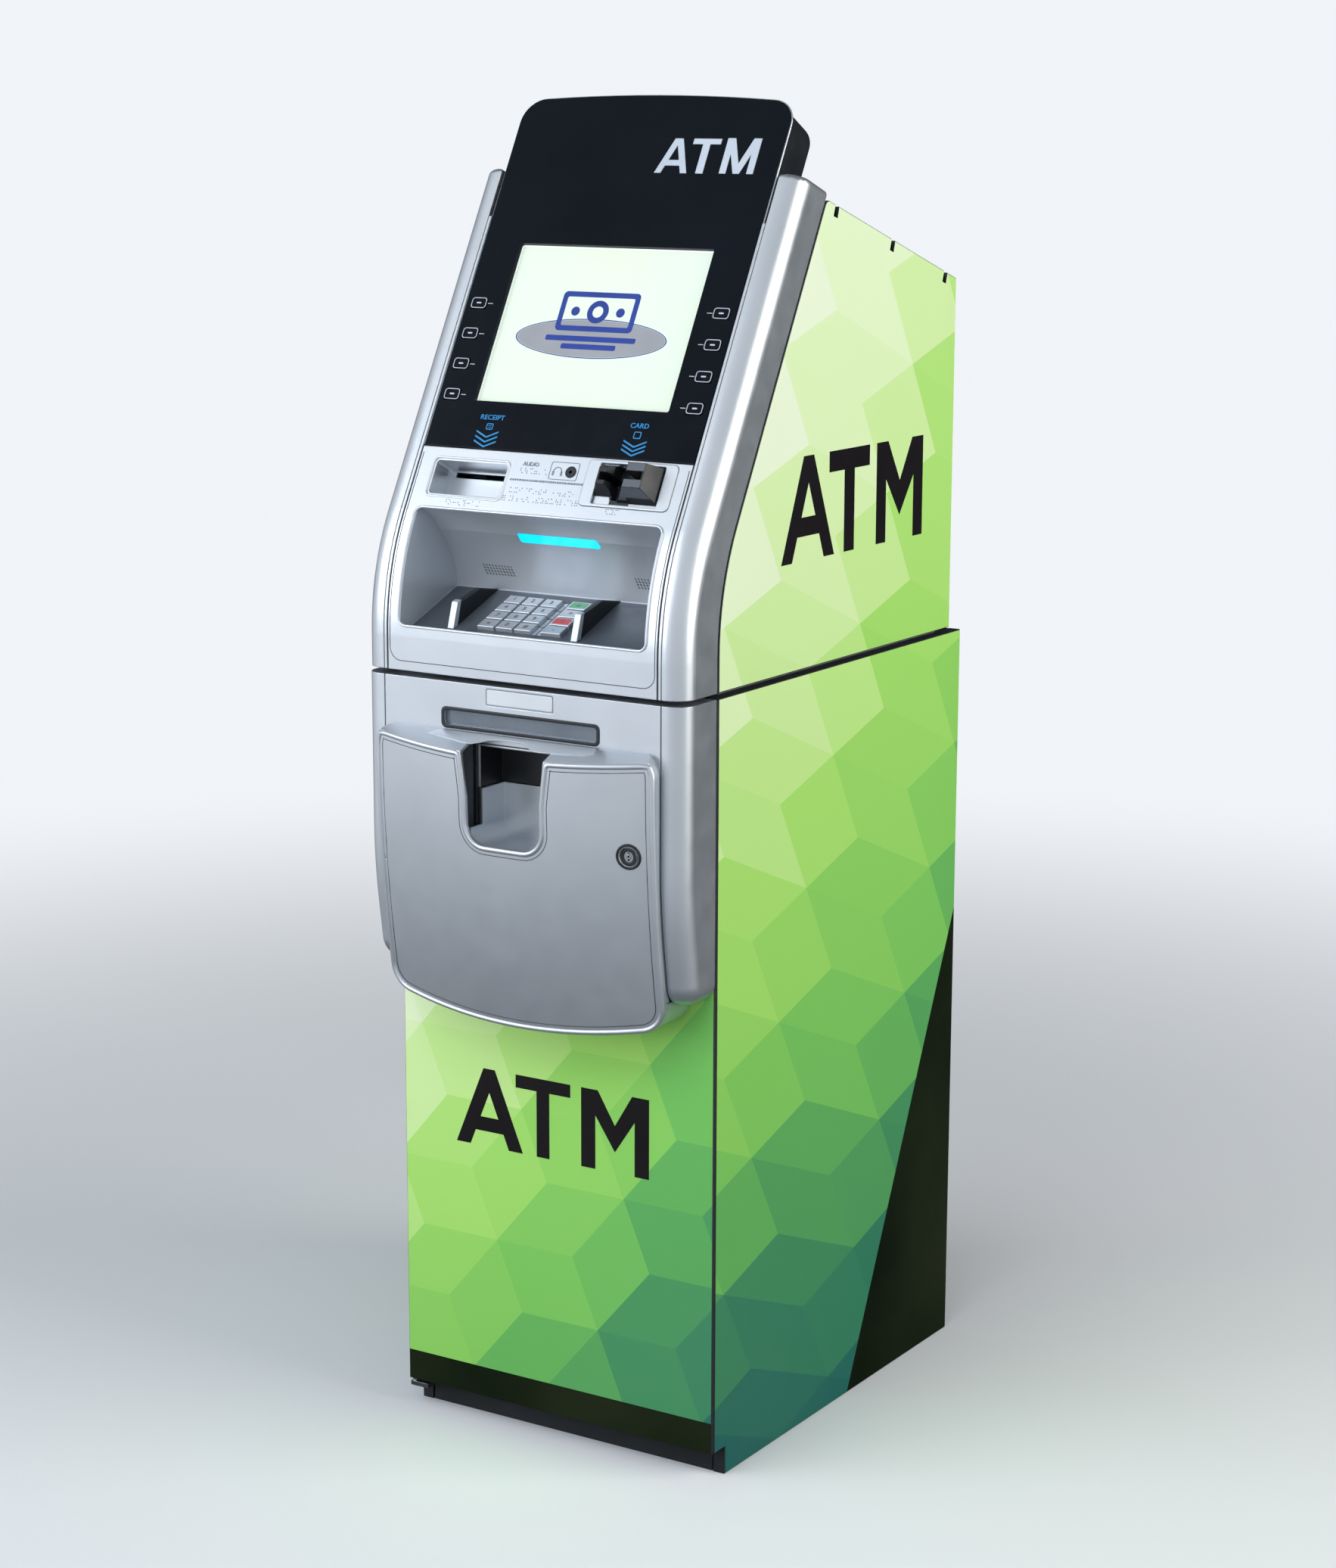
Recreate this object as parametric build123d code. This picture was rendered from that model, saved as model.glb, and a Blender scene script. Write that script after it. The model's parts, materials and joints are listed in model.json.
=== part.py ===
from build123d import *
import math
import os

os.makedirs("parts", exist_ok=True)

# ---------------------------------------------------------------- driving sizes, mm
WIDTH = 400.0            # over the two side panels
HALF = WIDTH / 2
LOWER_DEPTH = 535.0      # front edge of the lower side panel to its back
UPPER_BACK = 507.0       # back of the upper cabinet
SEAM_Z = 850.0           # gap between vault and upper cabinet
SEAM_GAP = 6.0
TOE_HEIGHT = 31.0
TOE_DEPTH = 26.0
Y_ORIGIN = 270.0         # centre of the floor anchors, behind the door plane
FRONT_Y = -62.0          # vertical front of the silver fascia
LEAN = math.radians(28.7)    # lean of the upper fascia from the vertical
LEAN_CORNER_Z = 958.5
LEAN_RADIUS = 270.0
PANEL_LOW_Z = 1082.4     # lower edge of the black front panel
SIDE_SHIFT = 66.0        # side panel's front edge, behind the fascia surface
COLUMN_DEPTH = 63.0
COLUMN_IN = 173.3
SKIN = 3.5
SIDE_IN = 186.0
TOP_FRONT = (213.0, 1340.3)
TOP_BACK = (UPPER_BACK, 1246.6)
VAULT_HALF = 184.0
ANCHOR_X = 120.0
ANCHOR_Y = 150.0
ANCHOR_R = 8.0
HINGE = (-196.0, 7.0)        # vertical pins of the vault door, x and y
HOOD_AXIS = (224.0, 1322.0)  # upper door's axis, y and z
COVER_AXIS = (-168.0, -68.5)
KEY_TRAVEL = 1.5

SIN = math.sin(LEAN)
COS = math.cos(LEAN)
BEND_Z = LEAN_CORNER_Z - LEAN_RADIUS * math.tan(LEAN / 2)
PANEL_LOW_Y = FRONT_Y + (PANEL_LOW_Z - LEAN_CORNER_Z) * math.tan(LEAN)
LOW_TOP = SEAM_Z - SEAM_GAP / 2
UP_LOW = SEAM_Z + SEAM_GAP / 2

# sloping face: local x to the right, local y up the slope, local z out of it
SLOPE = Plane(origin=(0, PANEL_LOW_Y, PANEL_LOW_Z), x_dir=(1, 0, 0), z_dir=(0, -COS, SIN))
# deck of the keypad recess
DECK_FRONT = (-55.0, 892.0)
DECK_BACK = (42.0, 930.0)
DECK_ANGLE = math.atan2(DECK_BACK[1] - DECK_FRONT[1], DECK_BACK[0] - DECK_FRONT[0])
KEYPAD_Y = -4.0
KEYPAD_Z = DECK_FRONT[1] + (KEYPAD_Y - DECK_FRONT[0]) * math.tan(DECK_ANGLE)
DECK = Plane(
    origin=(0, KEYPAD_Y, KEYPAD_Z),
    x_dir=(1, 0, 0),
    z_dir=(0, -math.sin(DECK_ANGLE), math.cos(DECK_ANGLE)),
)


# ---------------------------------------------------------------- helpers
def block(x0, x1, y0, y1, z0, z1):
    size = Box(abs(x1 - x0), abs(y1 - y0), abs(z1 - z0))
    return Pos((x0 + x1) / 2, (y0 + y1) / 2, (z0 + z1) / 2) * size


def grow(plane, face, height, direction):
    """Extrude a face placed on a plane, whichever way round it was drawn."""
    placed = plane * face
    normal = placed.faces()[0].normal_at()
    sign = 1 if normal.dot(Vector(*direction)) > 0 else -1
    return extrude(placed, amount=sign * height)


def side_slab(face, x0, x1):
    """Extrude a face drawn as (y, z) from x0 to x1."""
    return grow(Plane.YZ.offset(x0), face, x1 - x0, (1, 0, 0))


def front_slab(face, y0, y1):
    """Extrude a face drawn as (x, z) from y0 back to y1."""
    return grow(Plane.XZ.offset(-y0), face, y1 - y0, (0, 1, 0))


def slope_slab(face, low, high):
    """Extrude a face drawn on the slope, from low to high along its outward normal."""
    return grow(SLOPE.offset(low), face, high - low, tuple(SLOPE.z_dir))


def deck_slab(face, low, high):
    return grow(DECK.offset(low), face, high - low, tuple(DECK.z_dir))


def rect(x0, x1, y0, y1, radius=0):
    w = abs(x1 - x0)
    h = abs(y1 - y0)
    shape = RectangleRounded(w, h, radius) if radius else Rectangle(w, h)
    return Pos((x0 + x1) / 2, (y0 + y1) / 2) * shape


def both_sides(shape):
    return shape + mirror(shape, about=Plane.YZ)


def lean_edges(inset, shift, z_low, slope_end):
    """Side view of the leaning front: upright, bend and slope, from the bottom up."""
    y0 = FRONT_Y + inset + shift
    cy = FRONT_Y + LEAN_RADIUS + shift
    r = LEAN_RADIUS - inset
    a = (y0, z_low)
    b = (y0, BEND_Z)
    m = (cy - r * math.cos(LEAN / 2), BEND_Z + r * math.sin(LEAN / 2))
    c = (cy - r * COS, BEND_Z + r * SIN)
    d = (
        PANEL_LOW_Y + shift + slope_end * SIN + inset * COS,
        PANEL_LOW_Z + slope_end * COS - inset * SIN,
    )
    return [Line(a, b), ThreePointArc(b, m, c), Line(c, d)], a, d


def lean_band(inset0, shift0, end0, inset1, shift1, end1, z_low=UP_LOW):
    """Face between two leaning curves."""
    near, near_low, near_top = lean_edges(inset0, shift0, z_low, end0)
    far, far_low, far_top = lean_edges(inset1, shift1, z_low, end1)
    edges = near + [Line(near_top, far_top)] + far + [Line(far_low, near_low)]
    return make_face(Curve() + edges)


def slope_at(z):
    return (z - PANEL_LOW_Z) / COS


def try_fillet(shape, edges, radius):
    try:
        return fillet(edges, radius)
    except Exception:
        print("fillet skipped at radius", radius)
        return shape


def keep(name, shape):
    moved = Pos(0, -Y_ORIGIN, 0) * shape
    solids = moved.solids()
    export_step(Compound(children=list(solids)), "parts/" + name + ".step")
    volume = sum(s.volume for s in solids) / 1000
    print(f"{name:22s} solids {len(solids)}  {volume:9.1f} cm3")


# ---------------------------------------------------------------- base and vault
plinth = block(-VAULT_HALF, VAULT_HALF, TOE_DEPTH + 1, 520, 0, TOE_HEIGHT)
plinth -= block(-VAULT_HALF + 4, VAULT_HALF - 4, TOE_DEPTH + 5, 516, -1, TOE_HEIGHT + 1)
for sx in (-1, 1):
    for sy in (-1, 1):
        x = sx * ANCHOR_X
        y = Y_ORIGIN + sy * ANCHOR_Y
        boss = block(x - 16, x + 16, y - 16, y + 16, 0, TOE_HEIGHT)
        plinth += boss
        plinth += block(min(x, sx * 181), max(x, sx * 181), y - 4, y + 4, 0, TOE_HEIGHT)
for sx in (-1, 1):
    for sy in (-1, 1):
        x = sx * ANCHOR_X
        y = Y_ORIGIN + sy * ANCHOR_Y
        plinth -= Pos(x, y, TOE_HEIGHT / 2) * Cylinder(ANCHOR_R, 60)
keep("plinth", plinth)

vault = block(-VAULT_HALF, VAULT_HALF, 26, 520, TOE_HEIGHT, 846)
vault -= block(-174, 174, 25, 510, TOE_HEIGHT + 10, 836)
for sx in (-1, 1):
    for sy in (-1, 1):
        vault -= Pos(sx * ANCHOR_X, Y_ORIGIN + sy * ANCHOR_Y, 36) * Cylinder(ANCHOR_R, 30)
for z in (140, 440, 740):
    vault -= Pos(179, 40, z) * Rot(0, 90, 0) * Cylinder(8.6, 14)
vault -= Pos(60, 515, 110) * Rot(90, 0, 0) * Cylinder(24, 20)
vault += block(-174, 174, 60, 505, 560, 563)
keep("vault_shell", vault)

# pivot pins: two for the vault door, two stubs for the upper door
pin_x, pin_y = HINGE
low_bracket = block(-199.4, -176, 2.5, TOE_DEPTH - 1, 22, 27)
low_bracket += block(-184, -176, 20, TOE_DEPTH + 1, 22, 27)
low_bracket += Pos(pin_x, pin_y, 38) * Cylinder(3.0, 24)
top_bracket = block(-199.4, -150, 2.5, 30, 847.4, 849.8)
top_bracket += Pos(pin_x, pin_y, 836) * Cylinder(3.0, 25)
pins = low_bracket + top_bracket
for sx in (-1, 1):
    stub = Pos(sx * 163, HOOD_AXIS[0], HOOD_AXIS[1]) * Rot(0, 90, 0) * Cylinder(5.0, 38)
    pins += stub
keep("hinge_pins", pins)

# ---------------------------------------------------------------- outer panels
def lower_side(sign, front_edge):
    outline = Polygon(
        (TOE_DEPTH, 0),
        (LOWER_DEPTH, 0),
        (LOWER_DEPTH, LOW_TOP),
        (front_edge, LOW_TOP),
        (front_edge, TOE_HEIGHT),
        (TOE_DEPTH, TOE_HEIGHT),
        align=None,
    )
    x_in = sign * SIDE_IN
    x_out = sign * HALF
    panel = side_slab(outline, min(x_in, x_out), max(x_in, x_out))
    edges = [e for e in panel.edges() if abs(abs(e.center().X) - HALF) < 0.01]
    panel = try_fillet(panel, edges, 1.2)
    pocket = block(x_in - sign, x_out - sign * 3, TOE_DEPTH + 5, LOWER_DEPTH - 5, 5, LOW_TOP - 5)
    return panel - pocket


keep("lower_side_panels", lower_side(1, 4.0) + lower_side(-1, 12.5))


def upper_side(sign):
    curve, low, top = lean_edges(0, SIDE_SHIFT, UP_LOW, slope_at(TOP_FRONT[1]))
    edges = curve + [Line(top, TOP_BACK)]
    edges += [Line(TOP_BACK, (UPPER_BACK, UP_LOW)), Line((UPPER_BACK, UP_LOW), low)]
    outline = make_face(Curve() + edges)
    corner = [v for v in outline.vertices() if v.Y > 1330]
    outline = fillet(corner, 8)
    x_in = sign * SIDE_IN
    x_out = sign * HALF
    panel = side_slab(outline, min(x_in, x_out), max(x_in, x_out))
    rim = [e for e in panel.edges() if abs(abs(e.center().X) - HALF) < 0.01]
    panel = try_fillet(panel, rim, 1.2)
    inner = offset(outline, -5)
    a, b = sorted((x_in - sign, x_out - sign * 3))
    panel -= side_slab(inner, a, b)
    tilt = math.degrees(math.atan2(TOP_BACK[1] - TOP_FRONT[1], TOP_BACK[0] - TOP_FRONT[0]))
    for y, z in ((235.4, 1334.5), (359, 1295), (481.9, 1256)):
        slot = Rot(tilt, 0, 0) * Box(30, 9, 28)
        panel -= Pos(sign * 193, y, z) * slot
    return panel


keep("upper_side_panels", upper_side(1) + upper_side(-1))

low_back = block(-185.4, 185.4, LOWER_DEPTH - 4, LOWER_DEPTH - 1, 4, LOW_TOP)
low_back -= block(110, 138, 520, 540, 92, 140)
low_back -= Pos(60, LOWER_DEPTH - 2, 110) * Rot(90, 0, 0) * Cylinder(16, 20)
up_back = block(-185.4, 185.4, UPPER_BACK - 4, UPPER_BACK - 1, UP_LOW, 1240)
for row in range(8):
    z = 1150 + row * 9
    low_back -= block(-60, 60, 520, 540, z - 420, z - 416)
    up_back -= block(-60, 60, 500, 510, z - 4, z)
low_back += block(-185.4, 185.4, 521, LOWER_DEPTH - 4, LOW_TOP - 4, LOW_TOP - 1)
keep("back_panels", low_back + up_back)

top_cover = Polygon(
    (247, 1326.5),
    (505.5, 1244.0),
    (505.5, 1240.8),
    (247, 1323.3),
    align=None,
)
keep("top_cover", side_slab(top_cover, -185.4, 185.4))

chassis = block(-VAULT_HALF, VAULT_HALF, 30, 502, 846, 850)
cheek_front, cheek_low, cheek_top = lean_edges(0, SIDE_SHIFT + 7, 850, slope_at(1328))
cheek_edges = cheek_front + [Line(cheek_top, (502, 1236)), Line((502, 1236), (502, 850))]
cheek_edges += [Line((502, 850), cheek_low)]
cheek = make_face(Curve() + cheek_edges)
cheek_window = [(-40, 856), (460, 856), (460, 1210), (215, 1286), (150, 1300), (-40, 1300)]
cheek -= make_face(Polyline(*cheek_window, close=True))
chassis += side_slab(cheek, 182, VAULT_HALF)
chassis += side_slab(cheek, -VAULT_HALF, -182)
chassis += block(-182, 182, 300, 303, 850, 1040)
chassis += block(-182, 182, 110, 303, 1037, 1040)
chassis += block(-182, 182, 470, 500, 1228, 1231)
keep("upper_chassis", chassis)

# ---------------------------------------------------------------- works inside
dispenser = block(-130, 130, 60, 430, 600, 825)
dispenser -= block(-122, 122, 50, 422, 608, 780)
dispenser -= block(-95, 95, 40, 200, 800, 818)
for y in (110, 190, 270, 350):
    for z in (660, 730):
        dispenser += Pos(0, y, z) * Rot(0, 90, 0) * Cylinder(12, 244)
dispenser += block(-122, 122, 100, 400, 575, 600) - block(-110, 110, 110, 390, 570, 601)
dispenser += block(-130, -110, 60, 430, 563, 600) + block(110, 130, 60, 430, 563, 600)
keep("note_dispenser", dispenser)

cassette = block(-110, 110, 70, 430, 320, 540)
cassette -= block(-104, 104, 80, 424, 326, 545)
cassette += block(-110, 110, 70, 430, 540, 548)
grip = block(-45, 45, 48, 70, 470, 500) - block(-37, 37, 56, 71, 460, 510)
cassette += grip
cassette += block(-150, 150, 60, 440, 312, 320)
cassette += block(-174, -150, 60, 440, 300, 320) + block(150, 174, 60, 440, 300, 320)
keep("note_cassette", cassette)

printer = block(-152, -48, 96, 176, 1040, 1120)
printer -= block(-144, -56, 90, 170, 1062, 1072)
for x in (-158, -46):
    printer += block(x, x + 4, 150, 250, 1040, 1130)
spindle_y = 220.0
spindle_z = 1100.0
printer += Pos(-100, spindle_y, spindle_z) * Rot(0, 90, 0) * Cylinder(6.0, 112)
keep("receipt_printer", printer)
roll = Pos(-100, spindle_y, spindle_z) * Rot(0, 90, 0) * Cylinder(42, 80)
roll -= Pos(-100, spindle_y, spindle_z) * Rot(0, 90, 0) * Cylinder(6.05, 90)
keep("paper_roll", roll)

box = block(0, 150, 330, 480, 850, 1030) - block(4, 146, 326, 476, 854, 1026)
for row in range(6):
    z = 880 + row * 22
    box -= block(140, 160, 350, 460, z, z + 8)
box += block(-150, -20, 340, 460, 850, 930)
keep("electronics_box", box)

inlet = block(111, 137, 520.5, 536, 93, 139)
inlet += block(107, 141, LOWER_DEPTH - 1, LOWER_DEPTH + 2, 89, 143)
inlet -= block(115, 133, 524, 540, 98, 120)
inlet += block(116, 132, LOWER_DEPTH + 2, LOWER_DEPTH + 4, 124, 136)
for x in (119, 124, 129):
    inlet += block(x - 1, x + 1, 523, 533, 106, 112)
keep("mains_inlet", inlet)

# ---------------------------------------------------------------- upper door
fascia = side_slab(lean_band(0, 0, -0.4, SKIN, 0, -0.4), -167.3, 167.3)
fascia += block(-167.3, 167.3, FRONT_Y + 1, FRONT_Y + 40, UP_LOW, UP_LOW + 3)
# backing frame behind the black panel, and ribs down to the silver skin
backing = slope_slab(rect(-166, 166, -14, 300), -11.5, -8.0)
backing -= slope_slab(rect(-134, 134, 42, 250), -20, 0)
fascia += backing
for sx in (-1, 1):
    fascia += slope_slab(rect(sx * 166, sx * 158, -14, -2), -9, -3)
# strip and column each side
strip = side_slab(lean_band(0, 0, 268, 8, 0, 268), 169.3, 172.3)
fascia += both_sides(strip)


def column(grow, x0, x1, end_front, end_back, z_low, radius):
    body = side_slab(lean_band(grow, 0, end_front, 0, COLUMN_DEPTH, end_back, z_low), x0, x1)
    front = []
    for e in body.edges():
        c = e.center()
        if abs(c.X - x1) > 0.01:
            continue
        if e.length < 30:
            continue
        guide = max(FRONT_Y, FRONT_Y + (c.Z - LEAN_CORNER_Z) * math.tan(LEAN))
        if abs(c.Z - z_low) > 1 and c.Y < guide + 25 + grow:
            front.append(e)
    return fillet(front, radius)


outer = column(0, COLUMN_IN, HALF, slope_at(1368), slope_at(1349), UP_LOW, 22)
top_edges = [e for e in outer.edges() if e.center().Z > 1352 and e.length > 8]
outer = try_fillet(outer, top_edges, 7)
inner = column(3.5, COLUMN_IN + 3, HALF - 3.5, slope_at(1360), slope_at(1341), UP_LOW - 1, 18)
col = outer - inner
# open back of the column keeps a lip
fascia += both_sides(col)

# keypad recess
pocket = make_face(
    Curve()
    + [
        Line((-110, 901), DECK_FRONT),
        Line(DECK_FRONT, DECK_BACK),
        ThreePointArc(DECK_BACK, (31, 966), (8, 995)),
        ThreePointArc((8, 995), (-8, 1011), (-27, 1021.7)),
        Line((-27, 1021.7), (-110, 1060)),
        Line((-110, 1060), (-110, 901)),
    ]
)
pocket_out = offset(pocket, 3)
hollow = side_slab(pocket, -152, 152)
mouth = front_slab(rect(-154, 154, 901, 1021.7, 9), -120, 20)
hollow = hollow & front_slab(rect(-153, 153, 880, 1040), -120, 60)
shell = side_slab(pocket_out, -155, 155)
behind = side_slab(lean_band(SKIN, 0, 40, SKIN, 240, 40, 840), -160, 160)
recess = (shell - hollow) & behind
fascia -= mouth & side_slab(lean_band(-30, 0, -20, 60, 0, -20, 880), -160, 160)
recess_lip = side_slab(pocket_out, -155, 155) - hollow
recess_lip = recess_lip & side_slab(lean_band(0.4, 0, -30, SKIN, 0, -30, 880), -155, 155)
recess += (recess_lip & front_slab(rect(-153.7, 153.7, 901.3, 1021.4, 8.7), -120, 20))

col_x = (-60.75, -37.45, -14.15, 20.75)
col_w = (20.5, 20.5, 20.5, 24.5)
row_y = (25.65, 8.55, -8.55, -25.65)
key_h = 14.6
for x, w in zip(col_x, col_w):
    for y in row_y:
        recess -= deck_slab(rect(x - w / 2 - 0.4, x + w / 2 + 0.4, y - 7.7, y + 7.7), -12, 3)
# lamp set into the overhanging back of the recess
lamp = Plane(origin=(0, 11.5, 992.5), x_dir=(1, 0, 0), z_dir=(0, -0.80, -0.60))
recess -= extrude(lamp.offset(-7) * RectangleRounded(100.6, 14.6, 3.2), amount=12)
bar = extrude(lamp.offset(-6) * RectangleRounded(100, 14, 3), amount=6.2)
keep("light_bar", bar)
keep("pin_recess", recess)

for r, y in enumerate(row_y):
    for c, x in enumerate(col_x):
        w = col_w[c]
        key = deck_slab(rect(x - w / 2, x + w / 2, y - key_h / 2, y + key_h / 2), -2.4, 4.6)
        top = [e for e in key.edges() if (DECK.to_local_coords(e.center()).Z > 4.5)]
        key = fillet(top, 1.1)
        keep(f"pin_key_{r + 1}{c + 1}", key)

# privacy wings beside the keypad, with a pale front edge
wing_side = make_face(Polyline((-39, 898.6), (-31, 924.5), (9, 935.5), (42, 930.4), close=True))
wings = side_slab(wing_side, 50, 57) + side_slab(wing_side, -105, -98)
wings = try_fillet(wings, [e for e in wings.edges() if e.center().Z > 925 and e.length > 20], 1.0)
keep("privacy_wings", wings)

# receipt pocket
receipt = slope_slab(rect(-147.7, -51.6, -55, -12, 6), -34, -0.6)
receipt_cut = slope_slab(rect(-144.9, -54.4, -52.2, -14.8, 4), -31, 1)
fascia -= slope_slab(rect(-148.1, -51.2, -55.4, -11.6, 6.4), -14, 2)
receipt -= receipt_cut
receipt -= slope_slab(rect(-139, -60, -22, -16), -40, -20)
keep("receipt_tray", receipt)

# card reader: silver plate, black throat with two lobes
plate = slope_slab(rect(44.6, 152.4, -53, -2.2, 6), -2.5, 0.9)
plate -= slope_slab(rect(59, 138, -50, -5, 2), -5, 3)
fascia -= slope_slab(rect(44.2, 152.8, -53.4, -1.8, 6.4), -14, 2)
keep("card_plate", plate)

throat = slope_slab(rect(59.4, 137.6, -49.6, -5.4, 2), -26, -3)
right_low = SLOPE.offset(-3) * rect(88, 137, -46, -6)
right_top = SLOPE.offset(20) * rect(104, 126, -37, -10)
throat += loft([right_low.faces()[0], right_top.faces()[0]])
left_low = SLOPE.offset(-3) * rect(60, 84, -40, -6)
left_top = SLOPE.offset(12) * rect(66, 76, -32, -14)
throat += loft([left_low.faces()[0], left_top.faces()[0]])
throat -= slope_slab(rect(68, 124, -28, -19), -40, 30)
throat -= slope_slab(rect(80, 102, -44, -8), -12, 30)
keep("card_bezel", throat)

jack_x = 24.9
jack_y = -18.0
fascia -= slope_slab(Pos(jack_x, jack_y) * Circle(5.2), -20, 3)
jack = slope_slab(Pos(jack_x, jack_y) * Circle(5.0), -16, 0.8)
jack -= slope_slab(Pos(jack_x, jack_y) * Circle(1.8), -13.2, 3)
keep("audio_jack", jack)
keep("upper_fascia", fascia)

# black front panel with the screen window and holes for the soft keys
ARCH_TOP = 413.5
shoulder = 406.5
outline_edges = [
    Line((-168, 0), (168, 0)),
    Line((168, 0), (169, shoulder)),
    ThreePointArc((169, shoulder), (0, ARCH_TOP), (-169, shoulder)),
    Line((-169, shoulder), (-168, 0)),
]
outline = make_face(Curve() + outline_edges)
outline = fillet([v for v in outline.vertices() if v.Y > 300], 28)
panel = slope_slab(outline, -5, 0)
rim = [e for e in panel.edges() if abs(SLOPE.to_local_coords(e.center()).Z) < 0.01]
panel = try_fillet(panel, rim, 1.5)
panel -= slope_slab(rect(-121, 121, 54.5, 237.2, 2.5), -10, 3)
soft_y = (165.7, 130.5, 95.3, 60.1)
for sx in (-1, 1):
    for y in soft_y:
        panel -= slope_slab(rect(sx * 151 - 10.4, sx * 151 + 10.4, y - 6.9, y + 6.9, 2.4), -10, 3)
keep("front_panel", panel)
for side, sx in (("left", -1), ("right", 1)):
    for n, y in enumerate(soft_y):
        key = slope_slab(rect(sx * 151 - 10, sx * 151 + 10, y - 6.5, y + 6.5, 2), -4, 0.9)
        keep(f"soft_key_{side}_{n + 1}", key)

display = slope_slab(rect(-130, 130, 46, 246), -30, -5.3)
keep("display", display)

head = slope_slab(offset(outline, -3), -58, -5.2)
back_rim = [e for e in head.edges() if SLOPE.to_local_coords(e.center()).Z < -57.9]
head = try_fillet(head, back_rim, 8)
head -= slope_slab(rect(-200, 200, -10, 300), -80, 0)
head -= slope_slab(offset(outline, -7) & rect(-200, 200, 296, 396), -54, -9)
ax_y, ax_z = HOOD_AXIS
for sx in (-1, 1):
    arm = make_face(
        Polyline(
            (ax_y - 9, ax_z - 2),
            (ax_y + 7, ax_z - 5),
            (ax_y + 10, ax_z + 26),
            (ax_y - 12, ax_z + 34),
            close=True,
        )
    )
    ear = side_slab(arm, sx * 156 - 6, sx * 156 + 6)
    ear += Pos(sx * 156, ax_y, ax_z) * Rot(0, 90, 0) * Cylinder(9.5, 12)
    ear -= Pos(sx * 156, ax_y, ax_z) * Rot(0, 90, 0) * Cylinder(5.05, 20)
    head += ear
keep("header_housing", head)

# ---------------------------------------------------------------- vault door
door_plate = block(-182, 182, 12, 24.5, 42, 842)
door_plate -= block(-97, 97, 5, 30, 797, 821)
door_plate += block(-199.4, -170, 3.7, 10.4, 31.5, 52) + block(-182, -170, 10, 13, 42, 52)
door_plate += block(-199.4, -170, 3.7, 10.4, 818, 845.5) + block(-182, -170, 10, 13, 818, 842)
for z in (40, 832):
    door_plate -= Pos(pin_x, pin_y, z) * Cylinder(3.05, 40)
DIAL = (-70.0, 610.0)
LEVER = (75.0, 610.0)
for x, z in (DIAL, LEVER):
    door_plate -= Pos(x, 15, z) * Rot(90, 0, 0) * Cylinder(8.07, 60)
keep("vault_door_plate", door_plate)

skin = block(-199.5, 199.5, 0, 3.5, TOE_HEIGHT, 845.5)
skin_edges = [e for e in skin.edges() if e.length > 300 and e.center().Y < 0.1]
skin = try_fillet(skin, skin_edges, 1.2)
skin -= block(-96, 96, -5, 8, 798, 820)
for x, z in (DIAL, LEVER):
    skin -= Pos(x, 2, z) * Rot(90, 0, 0) * Cylinder(8.07, 20)
skin += block(-170, 170, 3.5, 11.9, 60, 64) + block(-165, 165, 3.5, 11.9, 520, 524)
keep("door_skin", skin)

# lower silver fascia and columns: upright above, falling back towards the bottom
BEND_LOW = 640.0
HEEL_Y = -46.0
HEEL_Z = 530.0


def falling_band(front, back, z_low, z_top):
    """Side view between two copies of the falling front, set back by front and back."""
    slope = (HEEL_Y - FRONT_Y) / (BEND_LOW - HEEL_Z)
    low = FRONT_Y + slope * (BEND_LOW - z_low)
    face = Polygon(
        (FRONT_Y + front, z_top),
        (FRONT_Y + front, BEND_LOW),
        (low + front, z_low),
        (low + back, z_low),
        (FRONT_Y + back, BEND_LOW),
        (FRONT_Y + back, z_top),
        align=None,
    )
    bends = [v for v in face.vertices() if abs(v.Y - BEND_LOW) < 0.1]
    return fillet(bends, 600)


fascia_low = side_slab(falling_band(0, SKIN, 536, LOW_TOP), -172, 172)
fascia_low -= front_slab(rect(-95.5, 95.5, 801, 817, 4), -70, -50)
fascia_low -= front_slab(rect(-53, 53, 676, 786), -70, -50)
fascia_low -= front_slab(rect(-150, 150, 556, 664, 12), -70, -40)
fascia_low += block(-172, 172, FRONT_Y + 1, -0.3, LOW_TOP - 3, LOW_TOP)
for sx in (-1, 1):
    a, b = sorted((sx * 164, sx * 167))
    fascia_low += side_slab(falling_band(1, 100, 536, LOW_TOP), a, b) & block(-200, 200, -70, -0.3, 500, 900)
fascia_low -= front_slab(rect(-42, 42, 826, 844, 2) - rect(-41.2, 41.2, 826.8, 843.2, 1.5), -63, -61.5)


def low_column(grow, x0, x1, top, bottom, radius):
    face = Polygon(
        (-0.4, top),
        (FRONT_Y + grow, top),
        (FRONT_Y + grow, BEND_LOW),
        (HEEL_Y + grow, bottom),
        (-0.4, bottom),
        align=None,
    )
    bend = [v for v in face.vertices() if abs(v.Y - BEND_LOW) < 0.1]
    face = fillet(bend, 600)
    heel = [v for v in face.vertices() if abs(v.Y - bottom) < 0.1 and v.X < -10]
    face = fillet(heel, 26 - grow)
    body = side_slab(face, x0, x1)
    front = []
    for e in body.edges():
        c = e.center()
        if abs(c.X - x1) < 0.01 and c.Y < -20 and abs(c.Z - top) > 1 and e.length > 3:
            if not (abs(c.Z - bottom) < 0.1 and e.length < 30 and c.Y > -21):
                front.append(e)
    return try_fillet(body, front, radius)


low_out = low_column(0, COLUMN_IN, HALF, LOW_TOP, 530, 20)
low_in = low_column(3.5, COLUMN_IN + 3, HALF - 3.5, LOW_TOP - 3.5, 533.5, 16.5)
low_in = low_in + Pos(0, 2, 0) * low_in
fascia_low += both_sides(low_out - low_in)
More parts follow.
